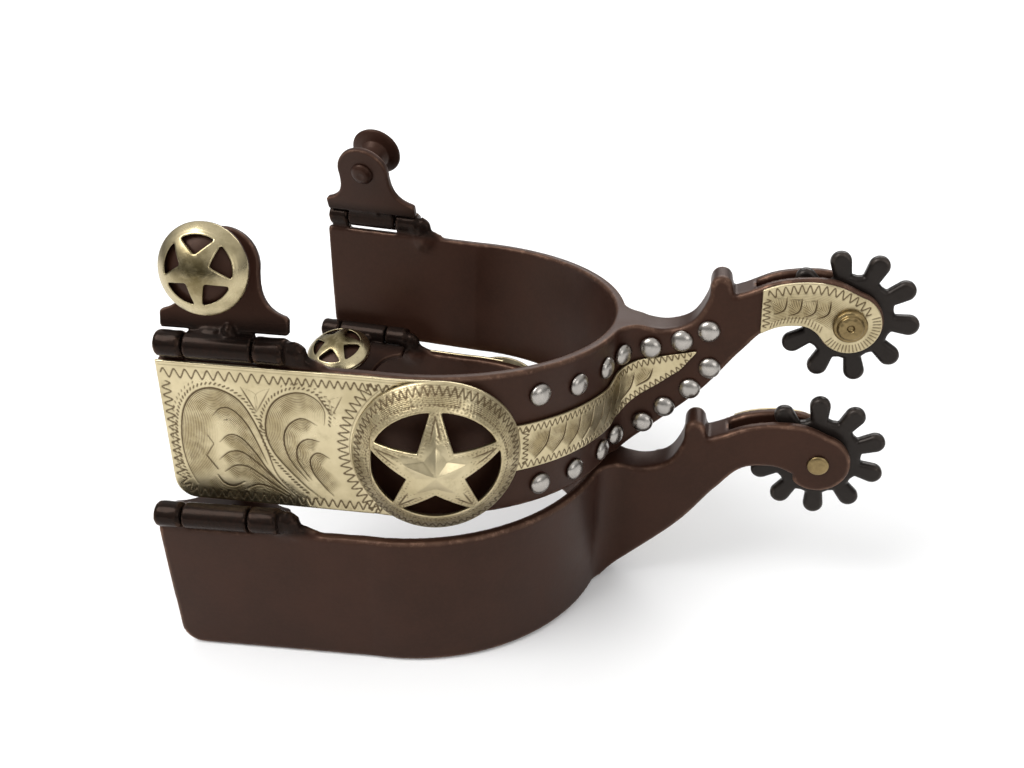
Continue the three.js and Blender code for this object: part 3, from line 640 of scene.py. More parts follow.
def knuckles(x, y, z):
    front = cylinder(x, y, z, BARREL_FRONT, KNUCKLE_FRONT - KNUCKLE_GAP, BARREL_RADIUS, 0.9)
    back = cylinder(x, y, z, KNUCKLE_BACK + KNUCKLE_GAP, BARREL_BACK, BARREL_RADIUS, 0.4)
    return np.minimum(front, back) + 0.05 * lumps(x, y, z, 4.1)


def knuckle_feet(x, y, z):
    """What joins the two knuckles to the arm's top edge."""
    deep = np.maximum(-y - 0.1, y - BAND_THICKNESS + HINGE_INSET + 0.4)
    tall = np.abs(z - (BAND_HEIGHT - HINGE_Z) - 0.8) - 1.6
    front = np.maximum(BARREL_FRONT + 0.9 - x, x - KNUCKLE_FRONT + KNUCKLE_GAP + 0.1)
    back = np.maximum(KNUCKLE_BACK + KNUCKLE_GAP + 0.1 - x, x - BARREL_BACK)
    return rounded(np.maximum(deep, tall), np.minimum(front, back), 0.2)


def hinge_weld(x, y, z):
    tail = blob(x, y, z, (BARREL_BACK + 1.2, 0.9, -0.9), (3.1, 1.9, 2.9))
    toe = blob(x, y, z, (BARREL_BACK + 4.4, 1.1, -3.0), (3.2, 1.2, 1.1))
    inside = blob(x, y, z, (BARREL_BACK + 2.6, 2.2, -4.6), (2.4, 1.0, 2.3))
    return np.minimum(soft_min(tail, toe, 1.4), inside) + 0.16 * lumps(x, y, z, 2.6)


def hinge_bore(x, y, z):
    return cylinder(x, y, z, BARREL_FRONT - 1, BARREL_BACK - 0.8, HINGE_PIN_RADIUS + PIN_CLEARANCE, 0.1)


def heel_band():
    field = Field((-97.5, -55, -1.5), (60, 55, 51.5), FORGED_STEP)
    x, y, z = field.axes
    plan = outline_distance(plan_outline(), x, y)[:, :, None]
    side = outline_distance(side_outline(), x, z)[:, None, :]
    behind_heel = np.clip((x[:, None, None] - 3) / 6, 0, 1) * np.clip((29 - x[:, None, None]) / 2, 0, 1)
    field.value = rounded(plan, side, 0.7 + 0.5 * behind_heel).astype(np.float32)
    for mirror, (y_from, y_to) in ((1, (-55, -38)), (-1, (38, 55))):
        def on_arm(solid):
            return lambda x, y, z: solid(*in_hinge_frame(x, mirror * y, z))

        box = ((-97.5, y_from, HINGE_BOTTOM), (-52, y_to, 44))
        field.join(on_arm(knuckle_feet), box, 0.3)
        field.join(on_arm(knuckles), box, 0.7)
        field.join(on_arm(hinge_weld), box, 1.1)
        field.cut(on_arm(hinge_bore), box)
    hole = ROWEL_PIN_RADIUS + PIN_CLEARANCE / 2
    field.cut(lambda x, y, z: np.hypot(x - ROWEL_X, z - ROWEL_Z) - hole, ((46, -6, 35), (56, 6, 45)))
    shape = Shape(*field.surface()).smoothed(2).with_edges()
    x, y, z = shape.points.T
    along, _, rise = in_hinge_frame(x, -np.abs(y), z)
    near = np.clip((rise + 4.2) / 1.6, 0, 1) * np.clip((22.5 - along) / 3, 0, 1)
    shape.attributes["soot"] = near * (z > HINGE_BOTTOM)
    return shape


# ---- Overlays ----

def edge_height(edge, s):
    return np.interp(s, [p[0] for p in edge], [p[1] for p in edge])


def band_overlay():
    start, end = -ARM_LENGTH + 0.3, CONCHO_S - 1
    corner = arc((start + END_SLANT + 4.8, 4.9), 4.8, 180, 270, 14)
    seat = arc(CONCHO_AT, CONCHO_SEAT_RADIUS, 266, 94, 60)
    outline = [(start, BAND_HEIGHT - 0.1), *corner, (end, 0.1), *seat, (end, BAND_HEIGHT - 0.1)]

    def engrave(e):
        left = start + 1.9
        e.zigzag([(start + 1, 31.2), (-22, 31.4)], 2.3, 2.35)
        e.groove([(start + 0.6, 33.1), (CONCHO_S, 33.1)], 0.14, 0.4)
        e.zigzag([(-22, 31.4), (CONCHO_S, 31.7)], 1.9, 1.75)
        e.zigzag([(left - 0.1, 29.2), (left + 0.5, 5.6)], 2.1, 1.9)
        e.zigzag([*arc((left + 4.6, 5.8), 3.9, 190, 268, 8), (-20, 1.9), (CONCHO_S, 1.9)], 2.1, 2.0)
        e.zigzag(arc(CONCHO_AT, CONCHO_RADIUS + 2.1, 128, 232), 2.4, 1.9)
        e.groove(arc(CONCHO_AT, CONCHO_RADIUS + 0.6, 120, 240), 0.16, 0.6)
        big_scroll(e)
        small_scroll(e)
        bud(e, (-26, 23.4), (-29, 29.2), (-22.6, 29.4))
        bud(e, (-9.4, 24), (-12.6, 29), (-7, 28.8))

    return wrapped(engraved_plate(outline, engrave, PLATE_GAP, PLATE_TOP, WIDE_PLATE_STEP))


def bud(e, tip, left_foot, right_foot):
    """A pointed bud that hangs from the top border."""
    middle = ((left_foot[0] + right_foot[0]) / 2, 27.6)
    e.groove(through([left_foot, tip]), 0.24, 1, True)
    e.groove(through([tip, right_foot]), 0.2, 0.8, True)
    for foot in (left_foot, right_foot):
        e.groove(through([foot, middle, tip]), 0.14, 0.5, True)


def frond(e, points, width):
    """A curled cut, with thinner cuts and shading on its left, or on its right if the width is negative."""
    path = through(points)
    along = np.gradient(path, axis=0)
    left = np.stack([-along[:, 1], along[:, 0]], 1) / (np.hypot(along[:, 0], along[:, 1])[:, None] + 1e-9)
    e.groove(path, 0.27, 1, True)
    sixth = len(path) // 6
    for offset, depth in ((0.7, 0.5), (1.4, 0.38)):
        beside = path + math.copysign(offset, width) * left
        e.groove(beside[sixth:-sixth], 0.14, depth, True)
    e.hatched(path, width, 0.02, 0.97, 1.2)


def big_scroll(e):
    """The large leaf by the open end: an outline, fronds that sweep down to one stem, and shading."""
    outline = through([
        (-41.3, 3.9), (-42.9, 8.4), (-43.6, 13.4), (-43.2, 19), (-42, 23.5), (-39.6, 26.8), (-36.3, 28.3),
        (-33, 27.9), (-29.6, 25.8), (-27, 21.5), (-24.8, 15.6), (-22.6, 8), (-18.6, 2.9),
    ])
    e.groove(outline, 0.3, 1, True)
    e.hatched(outline, -8.5, 0.0, 0.75, 1.1)
    e.punches(outline[4:80], 0.85, 1.1, 0.24, 0.9, 0.6)
    e.punches(outline[4:44], 0.95, 2.1, 0.22, 0.7, 0.5)
    for points in (
        [(-36, 21.6), (-34, 23.6), (-31.6, 23.6), (-28.9, 20.9), (-26.8, 16.6), (-24.6, 10.6)],
        [(-35, 15.2), (-32.8, 17.2), (-30.2, 16.8), (-27.4, 13.6), (-24.6, 9), (-21.4, 5)],
        [(-35.6, 10.6), (-33, 12.9), (-30, 13), (-26.6, 10.4), (-23.2, 6.8), (-19.6, 3.4)],
        [(-34.6, 7.6), (-32, 9.5), (-29, 9.4), (-25.8, 7.2), (-22.4, 4.6), (-19, 2.6)],
        [(-36.4, 6.6), (-35, 4.6), (-32.8, 4.1), (-30.4, 5.4)],
        [(-30, 3.6), (-27.4, 5), (-24.4, 4.6), (-20.4, 2.5)],
    ):
        frond(e, points, -4.2)
    e.groove([(-38.4, 11.5), (-36.4, 14.6), (-37.6, 16.6)], 0.2, 0.8)
    e.groove([(-38.4, 11.5), (-36.2, 8.2)], 0.24, 0.9)
    for k in range(8):
        turn = through([(-41.9 + 0.42 * k, 7.6), (-42 + 0.42 * k, 12), (-41.6 + 0.44 * k, 17)])
        e.groove(turn, 0.13, 0.45, True)


def small_scroll(e):
    """The leaf beside the concho."""
    outline = through([
        (-12.6, 2.6), (-16.4, 5.8), (-20, 9.8), (-22.8, 13.6), (-24.2, 17.6), (-24, 22), (-22.3, 25.8),
        (-19.2, 28.2), (-15.6, 28.9), (-12.6, 27.6), (-11, 25), (-11.2, 21.6),
    ])
    e.groove(outline, 0.28, 1, True)
    e.hatched(outline, -5.6, 0.12, 1.0)
    e.punches(outline[6:88], 0.85, 1.1, 0.24, 0.9, 0.6)
    e.punches(outline[56:84], 0.95, 2.1, 0.22, 0.7, 0.5)
    for points in (
        [(-12.8, 21.4), (-16, 22.8), (-19, 21), (-20.4, 17.4), (-19.4, 12.4), (-15.6, 7)],
        [(-12.4, 17.4), (-15.2, 17.8), (-17.4, 15.8), (-17.6, 12), (-14.8, 7.4)],
        [(-10.4, 13.4), (-13, 14.6), (-14.8, 12.8), (-14.4, 9.6), (-12, 6), (-10, 3.8)],
    ):
        frond(e, points, 4)
    e.punches(through([(-20.8, 7.4), (-16.6, 3.6), (-13.4, 4.0)]), 0.85, -1.0, 0.22)


def leaf_overlay():
    """The pointed plate around the heel. Its foot is at the concho and its tip near the shank."""
    foot, tip = LEAF_LOW_EDGE[0][0], LEAF_LOW_EDGE[-1][0]
    low = [(s, edge_height(LEAF_LOW_EDGE, s)) for s in np.linspace(foot, tip, 80)]
    high = [(s, edge_height(LEAF_HIGH_EDGE, s)) for s in np.linspace(tip, foot, 80)]

    def engrave(e):
        s = np.linspace(29, 84, 60)
        bottom, top = edge_height(LEAF_LOW_EDGE, s), edge_height(LEAF_HIGH_EDGE, s)
        for share in (0.11, 0.89):
            e.zigzag(np.stack([s, bottom + (top - bottom) * share], 1), 1.7, 1.5, 0.2)
        e.zigzag([(32.4, 11.6), (32.4, 20.4)], 1.5, 1.3, 0.2)
        for s in np.arange(36, 74, 4.6):
            base, top = edge_height(LEAF_LOW_EDGE, s) + 2.2, edge_height(LEAF_HIGH_EDGE, s) - 2.1
            points = [(s - 1.2, base), (s + 1.8, (base + top) / 2 - 0.4), (s + 2.6, top)]
            shaded_cut(e, points, 0.28, 5.2, 1.4, 3, 1.6)

    return wrapped(engraved_plate([*low, *high], engrave, PLATE_GAP + 0.05, PLATE_TOP + 0.05))


def shaded_cut(e, points, width, reach, strength, trim, core_reach):
    """A tapered cut with fine shading on its left, and coarser shading close to it."""
    cut = through(points)
    e.groove(cut, width, 1, True)
    e.hatched(cut, reach, 0, 1, strength)
    e.hatched(cut[trim:-trim], core_reach, 0, 1, strength, 0.5)


def neck_overlay():
    paddle = arc(ROWEL_AT, PADDLE_RADIUS - 0.5, 218, 435, 40)
    curve = through([(31.4, 35.4), (35.5, 37.6), (40.5, 38.3), (43.3, 37.3), paddle[0]], 8)
    back = through([paddle[-1], (46.2, 48.6), (40.4, 48.8), (34.6, 47.7), (30.6, 46)], 8)
    outline = np.concatenate([curve[:-1], paddle, back[1:]])
    hole = arc(ROWEL_AT, ROWEL_PIN_RADIUS + PIN_CLEARANCE, 0, 345, 24)

    def engrave(e):
        edge = [(32, 45), (35.2, 46.3), (40.4, 47.3), (46, 47.2), (51, 45.6), (54.6, 42.9)]
        e.zigzag(through(edge), 2.2, 1.75, 0.2)
        e.zigzag([(31.8, 44), (32.5, 37.2)], 1.8, 1.25, 0.19)
        middle = np.array(ROWEL_AT)
        for angle in np.arange(-134, 28, 7.5):
            way, _ = heading(angle)
            e.groove([middle + (PADDLE_RADIUS - 2.5) * way, middle + (PADDLE_RADIUS - 0.8) * way], 0.17, 0.8)
        ticks, _ = resampled(through([(33.4, 37.1), (36.4, 38.7), (40.6, 39.1), (44.4, 37.4)]), 0.8)
        for x, z in ticks:
            e.groove([(x, z), (x + 0.3, z + 1.4)], 0.17, 0.8)
        e.hatched(through([(32.6, 38.4), (38, 40), (43, 40), (47, 38)]), 7.5, 0, 1, 1.0)
        for x in (35, 38.3, 41.6, 44.6):
            shaded_cut(e, [(x - 1.3, 40.6), (x + 0.9, 41.9), (x + 1.1, 45)], 0.26, 4.2, 1.5, 2, 1.4)

    shape = engraved_plate(outline, engrave, PLATE_GAP, PLATE_TOP, windows=[hole])
    x, z, off = shape.points.T
    shape.points = np.stack([x, -SHANK_THICKNESS / 2 - off, z], 1)
    return shape


def star_window(index, ring, tip, notch, first_tip, centre=(0, 0)):
    """One of the five openings between a star's arms and its ring. Angles in degrees."""
    def polar(radius, angle):
        return radius * np.array([math.cos(angle), math.sin(angle)])

    def tip_at(k):
        return math.radians(first_tip) + k * 2 * math.pi / 5

    corner = polar(notch, tip_at(index + 0.5))

    def crossing(k):
        way = polar(tip, tip_at(k)) - corner
        a, b, c = way @ way, 2 * corner @ way, corner @ corner - ring * ring
        return corner + way * (-b + math.sqrt(b * b - 4 * a * c)) / (2 * a)

    start, end = crossing(index), crossing(index + 1)
    first = math.atan2(start[1], start[0])
    sweep = (math.atan2(end[1], end[0]) - first) % (2 * math.pi)
    rim = [polar(ring, first + sweep * t) for t in np.linspace(0, 1, 14)]
    return np.array([corner, *rim]) + np.array(centre)


def softened(outline, reach):
    """A closed outline with its corners rounded over the given reach."""
    points = resampled(closed(outline), 0.1)[0][:-1]
    width = max(1, int(reach / 0.1))
    return sum(np.roll(points, k, axis=0) for k in range(-width, width + 1)) / (2 * width + 1)


def star_ridges(u, v, first_tip, tip, notch):
    """0 on a star's outline and 1 at its middle, with a ridge on each arm."""
    fifth = math.radians(72)
    turn = np.mod(np.arctan2(v, u) - math.radians(first_tip) + fifth / 2, fifth) - fifth / 2
    radius = np.hypot(u, v)
    x, y = radius * np.cos(turn), radius * np.abs(np.sin(turn))
    slope = (1 - notch * math.cos(fifth / 2) / tip) / (notch * math.sin(fifth / 2))
    return np.clip(1 - x / tip - slope * y, 0, 1)


def star_concho():
    outline = arc(CONCHO_AT, CONCHO_RADIUS, 0, 357, 120)
    windows = [
        star_window(k, CONCHO_RING, CONCHO_STAR_TIP, CONCHO_STAR_NOTCH, 90, CONCHO_AT) for k in range(5)
    ]

    def relief(s, z):
        u, v = s - CONCHO_S, z - CONCHO_Z
        radius = np.hypot(u, v)
        dome = CONCHO_DOME * (1 - (np.minimum(radius, CONCHO_RADIUS + 1) / CONCHO_RADIUS) ** 2)
        arms = CONCHO_ARMS_HEIGHT * star_ridges(u, v, 90, **CONCHO_ARMS)
        return dome + arms + CONCHO_BOSS_HEIGHT * star_ridges(u, v, 90, **CONCHO_BOSS)

    def engrave(e):
        e.zigzag(arc(CONCHO_AT, 16.5, 0, 360, 90), 1.8, 1.5, 0.2)
        e.punches(arc(CONCHO_AT, 14.1, 0, 360, 90), 0.8, 0, 0.24)
        e.stipple(CONCHO_AT, 13.5, CONCHO_RADIUS - 0.6, 950)
        e.stipple(CONCHO_AT, 6.4, 13, 420)
        for start in np.arange(0, 360, 36):
            e.hatched(arc(CONCHO_AT, 13.8, start, start + 27), -4.4, 0, 1, 1.0, 0.32)
        e.groove(arc(CONCHO_AT, CONCHO_RADIUS - 0.45, 0, 360, 120), 0.15, 0.5)
        for window in windows:
            e.punches(closed(window), 0.8, -0.75, 0.2, 0.7)
        for tip in 90 + 72 * np.arange(5):
            way, across = heading(tip)
            for side in (-0.95, 0.95):
                e.groove([CONCHO_AT + 7.2 * way + side * across, CONCHO_AT + 12.2 * way], 0.22, 1, True)
            for start in (18, 36, 54):
                ray, _ = heading(tip + start)
                e.groove([CONCHO_AT + 15.3 * ray, CONCHO_AT + 14 * ray], 0.16, 0.6)

    rim = PLATE_TOP + 0.3
    top = rim + CONCHO_THICKNESS
    shape = engraved_plate(outline, engrave, rim, top, WIDE_PLATE_STEP, 0.3, windows, relief)
    radius = np.hypot(shape.points[:, 0] - CONCHO_S, shape.points[:, 1] - CONCHO_Z)
    tarnish = CONCHO_TARNISH * np.clip((radius - 5) / 3, 0, 1) * np.clip((16.5 - radius) / 1.5, 0.3, 1)
    shape.attributes["hatch"] = np.maximum(shape.attributes["hatch"], tarnish)
    return wrapped(shape)


def wrapped(shape):
    """A flat plate of u, v and stand-off, bent around the decorated side's skin."""
    shape.points = on_skin(shape.points)
    return shape


# ---- Studs, rowel and pins ----

def stud():
    rise = STUD_HEIGHT - STUD_SKIRT
    dome = [(STUD_RADIUS * math.cos(t), STUD_SKIRT + rise * math.sin(t)) for t in np.linspace(0, 1.5, 12)]
    return turned([(0, 0), (STUD_RADIUS - 0.1, 0), (STUD_RADIUS, 0.1), *dome, (0, STUD_HEIGHT)], 48)


def rowel():
    step, half = 360 / ROWEL_TEETH, TOOTH_WIDTH / 2
    outline = []
    for k in range(ROWEL_TEETH):
        way, across = heading(k * step)
        root = (ROWEL_ROOT - 0.1) * way
        outline.append(root - half * 0.85 * across)
        outline.extend(arc((ROWEL_RADIUS - half) * way, half, k * step - 90, k * step + 90, 14))
        outline.append(root + half * 0.85 * across)
        outline.append((ROWEL_ROOT - 0.2) * heading((k + 0.5) * step)[0])
    reach = ROWEL_RADIUS + 0.8
    field = Field((-reach, -1.9, -reach), (reach, 1.9, reach), SMALL_STEP)
    x, y, z = field.axes
    flat = outline_distance(outline, x, z)[:, None, :]
    wavy = 0.05 * lumps(x[:, None, None], y[None, :, None], z[None, None, :], 5.3)
    faces = np.abs(y)[None, :, None] - ROWEL_THICKNESS / 2 + wavy
    field.value = rounded(flat, faces, 1.05).astype(np.float32)
    field.cut(lambda x, y, z: np.hypot(x, z) - ROWEL_PIN_RADIUS - PIN_CLEARANCE, edge=0.3)
    return Shape(*field.surface()).smoothed(1).with_edges()


def rowel_pin():
    cheek = SHANK_THICKNESS / 2
    head = -(cheek + PLATE_TOP + 0.15)
    profile = eased([
        (0, head - 1.6), (0.55, head - 1.55), (0.9, head - 2.25), (2.1, head - 2.3), (2.75, head - 2.1),
        (2.9, head - 1.45), (3.55, head - 1.3), (3.8, head - 0.95), (3.8, head), (ROWEL_PIN_RADIUS, head),
        (ROWEL_PIN_RADIUS, cheek + 0.15), (2.5, cheek + 0.15), (2.45, cheek + 0.5), (1.7, cheek + 0.8),
        (0.7, cheek + 0.7), (0, cheek + 0.72),
    ], 0.3)
    shape = turned(profile, 72)
    x, y, z = shape.points.T
    on_head = np.clip((head - 0.4 - y) / 0.8, 0, 1) * np.clip(np.hypot(x, z), 0, 1)
    shape.points[:, 1] += 0.09 * on_head * lumps(x, 0.3 * y, z, 2.3)
    return shape


def hinge_pin():
    start, end = BARREL_FRONT + 0.3, BARREL_BACK - 1.4
    radius = HINGE_PIN_RADIUS
    shape = turned(eased([(0, start), (radius, start), (radius, end), (0, end)], 0.45), 40)
    x, y, z = shape.points.T
    shape.points = np.stack([y, -x, z], 1)
    return shape


# ---- Tab, button and star cap, in the hinge frame ----

def tab_outline():
    flange, bottom, top = TAB_FLANGE_HALF_WIDTH, TAB_FLANGE_BOTTOM, TAB_FLANGE_TOP
    start = (TAB_HEAD_RADIUS, TAB_HEAD_HEIGHT - 2.5)
    waist = (TAB_HEAD_RADIUS + 0.2, top + 1.4)
    shoulder = (flange - 0.6, top)
    t = np.linspace(0, 1, 12)[:, None]
    side = (1 - t) ** 2 * np.array(shoulder) + 2 * t * (1 - t) * np.array(waist) + t**2 * np.array(start)
    right = [(0, bottom), (flange - 0.4, bottom), (flange, bottom + 0.6), (flange, top - 0.6), *side]
    head = arc((0, TAB_HEAD_HEIGHT), TAB_HEAD_RADIUS, -8, 188, 36)
    left = [(-x, z) for x, z in reversed(right[1:])]
    return np.array([*right, *head, *left]) + np.array([TAB_CENTRE, 0])


def tab():
    field = Field((-15, -3.9, -3.9), (17, 3.9, 26), SMALL_STEP)
    x, y, z = field.axes
    flat = outline_distance(tab_outline(), x, z)[:, None, :]
    faces = np.abs(y - TAB_FACE - TAB_THICKNESS / 2)[None, :, None] - TAB_THICKNESS / 2
    field.value = rounded(flat, faces, 0.55).astype(np.float32)

    def root(x, y, z):
        deep = np.abs(y - TAB_FACE - TAB_THICKNESS / 2) - TAB_THICKNESS / 2 + 0.15
        wide = np.maximum(KNUCKLE_FRONT + 0.3 - x, x - KNUCKLE_BACK + 0.3)
        return rounded(deep, np.maximum(wide, np.abs(z - 2.4) - 1.9), 0.3)

    def weld(x, y, z):
        bead = blob(x, y, z, (-1.4, 0.5, 2.8), (3.6, 1.3, 1.2))
        drop = blob(x, y, z, (2.3, 0.2, 3.3), (1.5, 1.8, 1.9))
        return soft_min(bead, drop, 0.9) + 0.1 * lumps(x, y, z, 4.3)

    field.join(root, reach=0.3)
    field.join(lambda x, y, z: cylinder(x, y, z, KNUCKLE_FRONT, KNUCKLE_BACK, BARREL_RADIUS, 0.3), reach=0.6)
    field.join(weld, reach=0.7)
    field.cut(lambda x, y, z: np.hypot(y, z) - HINGE_PIN_RADIUS - PIN_CLEARANCE)
    hole = RIVET_RADIUS + PIN_CLEARANCE
    field.cut(lambda x, y, z: np.hypot(x - TAB_CENTRE, z - TAB_HEAD_HEIGHT) - hole, edge=0.3)
    shape = Shape(*field.surface()).smoothed(1).with_edges()
    shape.attributes["soot"] = np.clip((7.5 - np.hypot(shape.points[:, 1], shape.points[:, 2])) / 3.5, 0, 1)
    return shape


def on_tab_head(shape):
    """Turns a shape built about Y, with heights measured outwards, onto the tab's head."""
    x, y, z = shape.points.T
    shape.points = np.stack([x + TAB_CENTRE, TAB_FACE - y, TAB_HEAD_HEIGHT - z], 1)
    return shape


def cap_height(radius, rim_radius, rise):
    """A spherical cap over the button's disc, 0 at its rim."""
    sphere = (rim_radius**2 + rise**2) / (2 * rise)
    return np.sqrt(np.maximum(sphere**2 - np.minimum(radius, rim_radius * 1.05) ** 2, 0)) - sphere + rise


def button(radius, rim, dome):
    under = -TAB_THICKNESS - 0.2
    out = radius * np.linspace(0.97, 0.05, 16)
    crown = np.stack([out, rim + CROWN_SHARE * cap_height(out, radius, dome)], 1)
    profile = [
        (0, under - 1.25), (1.2, under - 1.4), (2.2, under - 1.2), (3, under - 0.6), (3.3, under),
        (RIVET_RADIUS, under), (RIVET_RADIUS, 0.2), (3.7, 0.2), (3.65, 0.9), (3.3, 2), (3.2, 4),
        (3.5, 6), (4.4, rim - 1.9), (radius - 1.2, rim - 1.3), (radius - 0.2, rim - 0.8), (radius, rim - 0.3),
    ]
    middle = (0, rim + CROWN_SHARE * dome)
    return on_tab_head(turned([*eased(profile, 0.25)[:-1], (radius, rim - 0.3), *crown, middle]))


def star_cap():
    rim_radius = STAR_BUTTON["radius"] + 0.1
    base = STAR_BUTTON["rim"] + 0.25
    windows = [softened(star_window(k, first_tip=-90, **CAP_STAR), 0.6) for k in range(5)]
    outline = arc((0, 0), rim_radius, 0, 356, 90)

    def relief(u, v):
        radius = np.hypot(u, v)
        return cap_height(radius, rim_radius, STAR_BUTTON["dome"]) - 0.1 * (radius / rim_radius) ** 8

    def engrave(e):
        e.groove(arc((0, 0), 7.6, 0, 360, 90), 0.2, 0.12)

    shape = engraved_plate(outline, engrave, base, base + 0.6, edge=0.28, windows=windows, relief=relief)
    x, z, off = shape.points.T
    shape.points = np.stack([x + TAB_CENTRE, TAB_FACE - off, z + TAB_HEAD_HEIGHT], 1)
    # Painted shade: the dome's middle is darkened where its reflection should look darker. This goes through
    # the "hatch" attribute and the brass's tarnish and cut colours. The steady "lines" value makes it an even
    # tone, not lines.
    shape.attributes["hatch"] = 1.6 * np.clip(1.15 - np.hypot(x, z) / 6.5, 0, 1)
    shape.attributes["lines"] = np.full(len(x), 0.1)
    return shape.with_edges()


# ---- Materials ----

class Look:
    """Builds a material's or a world's shading, node by node. Places are in metres, over the object's own
    coordinates."""

    def __init__(self, owner, shader="Principled BSDF"):
        owner.use_nodes = True
        self.owner = owner
        self.tree = owner.node_tree
        self.shader = self.tree.nodes[shader]
        self.places = self.add("ShaderNodeTexCoord").outputs

    def add(self, kind, inputs=None, **settings):
        node = self.tree.nodes.new(kind)
        for key, value in settings.items():
            setattr(node, key, value)
        for key, value in (inputs or {}).items():
            self.feed(node.inputs[key], value)
        return node

    def feed(self, socket, value):
        if isinstance(value, bpy.types.NodeSocket):
            self.tree.links.new(value, socket)
        elif socket.type == "RGBA":
            socket.default_value = (*value, 1)
        else:
            socket.default_value = value

    def attribute(self, name):
        return self.add("ShaderNodeAttribute", attribute_name=name).outputs["Fac"]

    def noise(self, size, detail=4.0, stretch=(1, 1, 1), roughness=0.55):
        """Noise with features of about the given size in millimetres."""
        scaled = self.add("ShaderNodeMapping", {"Vector": self.places["Object"], "Scale": stretch})
        return self.add("ShaderNodeTexNoise", {
            "Vector": scaled.outputs[0], "Scale": 1 / (size * MM), "Detail": detail, "Roughness": roughness,
        }).outputs["Fac"]

    def ramp(self, value, low, high, to_low=0.0, to_high=1.0, curve="SMOOTHSTEP"):
        inputs = {"Value": value, "From Min": low, "From Max": high, "To Min": to_low, "To Max": to_high}
        return self.add("ShaderNodeMapRange", inputs, interpolation_type=curve).outputs[0]

    def math(self, operation, a, b):
        return self.add("ShaderNodeMath", {0: a, 1: b}, operation=operation).outputs[0]

    def times(self, a, b):
        return self.math("MULTIPLY", a, b)

    def blend(self, factor, a, b):
        return self.add("ShaderNodeMix", {0: factor, 6: a, 7: b}, data_type="RGBA").outputs[2]

    def bump(self, height, distance, strength, under=None):
        inputs = {"Height": height, "Distance": distance * MM, "Strength": strength}
        if under is not None:
            inputs["Normal"] = under
        return self.add("ShaderNodeBump", inputs).outputs[0]

    def finish(self, **sockets):
        for name, value in sockets.items():
            self.feed(self.shader.inputs[name.replace("_", " ")], value)
        return self.owner


def shade(colour, share):
    return tuple(c * share for c in colour)


def browned_steel(name, base, light, gloss=0.0, tint=(1.0, 0.72, 0.58)):
    """Satin browned steel: cloudy colour, edges lightened partly by wear and partly as painted edge
    highlights, darker and glossier where it was welded.
    """
    look = Look(bpy.data.materials.new(name))
    clouds = look.noise(14, 5)
    grain = look.noise(0.9, 6)
    edge_chips_and_glints = look.ramp(look.noise(2.2, 8, roughness=0.7), 0.5, 0.66)
    edge = look.ramp(look.attribute("edge"), 0.04, 0.11)
    # Convex edges are lightened: partly wear, partly painted edge highlights. The chips brighten these edges
    # further as painted glints.
    wear_and_edge_highlight = look.times(edge, look.ramp(look.noise(5, 6), 0.3, 0.7, 0.25, 0.85))
    colour = look.blend(look.ramp(clouds, 0.3, 0.7), shade(base, 0.7), base)
    colour = look.blend(look.ramp(grain, 0.35, 0.75, 0, 0.25), colour, shade(base, 1.35))
    colour = look.blend(wear_and_edge_highlight, colour, light)
    colour = look.blend(look.times(look.times(edge_chips_and_glints, edge), 0.5), colour, shade(light, 1.8))
    soot = look.attribute("soot")
    colour = look.blend(look.times(soot, look.ramp(grain, 0.4, 0.62, 0.8, 0.98)), colour, SOOT)
    rough = look.ramp(clouds, 0.25, 0.75, 0.34 - gloss, 0.46 - gloss)
    normal = look.bump(look.noise(0.35, 3, (0.08, 1, 1)), 0.02, 0.25, look.bump(grain, 0.05, 0.35))
    return look.finish(
        Base_Color=colour, Metallic=look.ramp(wear_and_edge_highlight, 0, 1, 0.1, 0.7), Normal=normal,
        Roughness=look.math("SUBTRACT", rough, look.times(soot, 0.17)),
        Specular_IOR_Level=look.ramp(soot, 0, 1, 0.3, 0.13), Specular_Tint=tint,
    )


def brass(name, base, tarnish, cut, roughness=0.26):
    """Pale brass: cloudy tarnish, fine polishing marks, dark engraved lines and hatching, and on the star cap
    painted shade in the dome's middle.
    """
    look = Look(bpy.data.materials.new(name))
    clouds = look.noise(9, 6)
    patches = look.ramp(look.noise(4, 7, roughness=0.65), 0.48, 0.72)
    engrave, shading = look.attribute("engrave"), look.attribute("hatch")
    wave = look.math("SINE", look.times(look.attribute("lines"), 2 * math.pi), 0.0)
    # On the star cap, where "hatch" is set with steady "lines", this hatch and tone are painted shade.
    hatch = look.times(look.ramp(wave, -0.1, 0.9), shading)
    hatch = look.times(hatch, look.ramp(look.noise(1.7, 3), 0.3, 0.6, 0.35, 1))
    tone_and_painted_shade = look.times(shading, look.ramp(look.noise(3.1, 4), 0.35, 0.65, 0.25, 0.75))
    colour = look.blend(look.ramp(clouds, 0.3, 0.72, 0, 0.5), base, tarnish)
    colour = look.blend(look.times(patches, 0.35), colour, shade(tarnish, 0.7))
    colour = look.blend(tone_and_painted_shade, colour, tarnish)
    colour = look.blend(look.times(hatch, 0.75), colour, cut)
    colour = look.blend(look.ramp(engrave, 0.08, 0.75, 0, 0.88), colour, cut)
    rough = look.ramp(clouds, 0.25, 0.75, roughness, roughness + 0.14)
    normal = look.bump(look.noise(0.22, 4, (0.12, 1, 0.5)), 0.02, 0.3)
    normal = look.bump(hatch, -0.04, 0.6, look.bump(look.noise(2.6, 4), 0.1, 0.25, normal))
    return look.finish(
        Base_Color=colour, Metallic=1.0, Normal=normal,
        Roughness=look.math("ADD", rough, look.times(engrave, 0.3)),
    )


def silver(name):
    """Domed stud: satin nickel with faint turned marks."""
    look = Look(bpy.data.materials.new(name))
    clouds = look.noise(2.4, 3)
    return look.finish(
        Base_Color=look.blend(look.ramp(clouds, 0.35, 0.7), (0.44, 0.41, 0.375), (0.39, 0.365, 0.335)),
        Metallic=1.0, Roughness=look.ramp(clouds, 0.3, 0.7, 0.26, 0.31),
        Normal=look.bump(look.noise(0.5, 3, (1, 1, 0.2)), 0.004, 0.2),
    )


SOOT = (0.009, 0.0065, 0.0055)
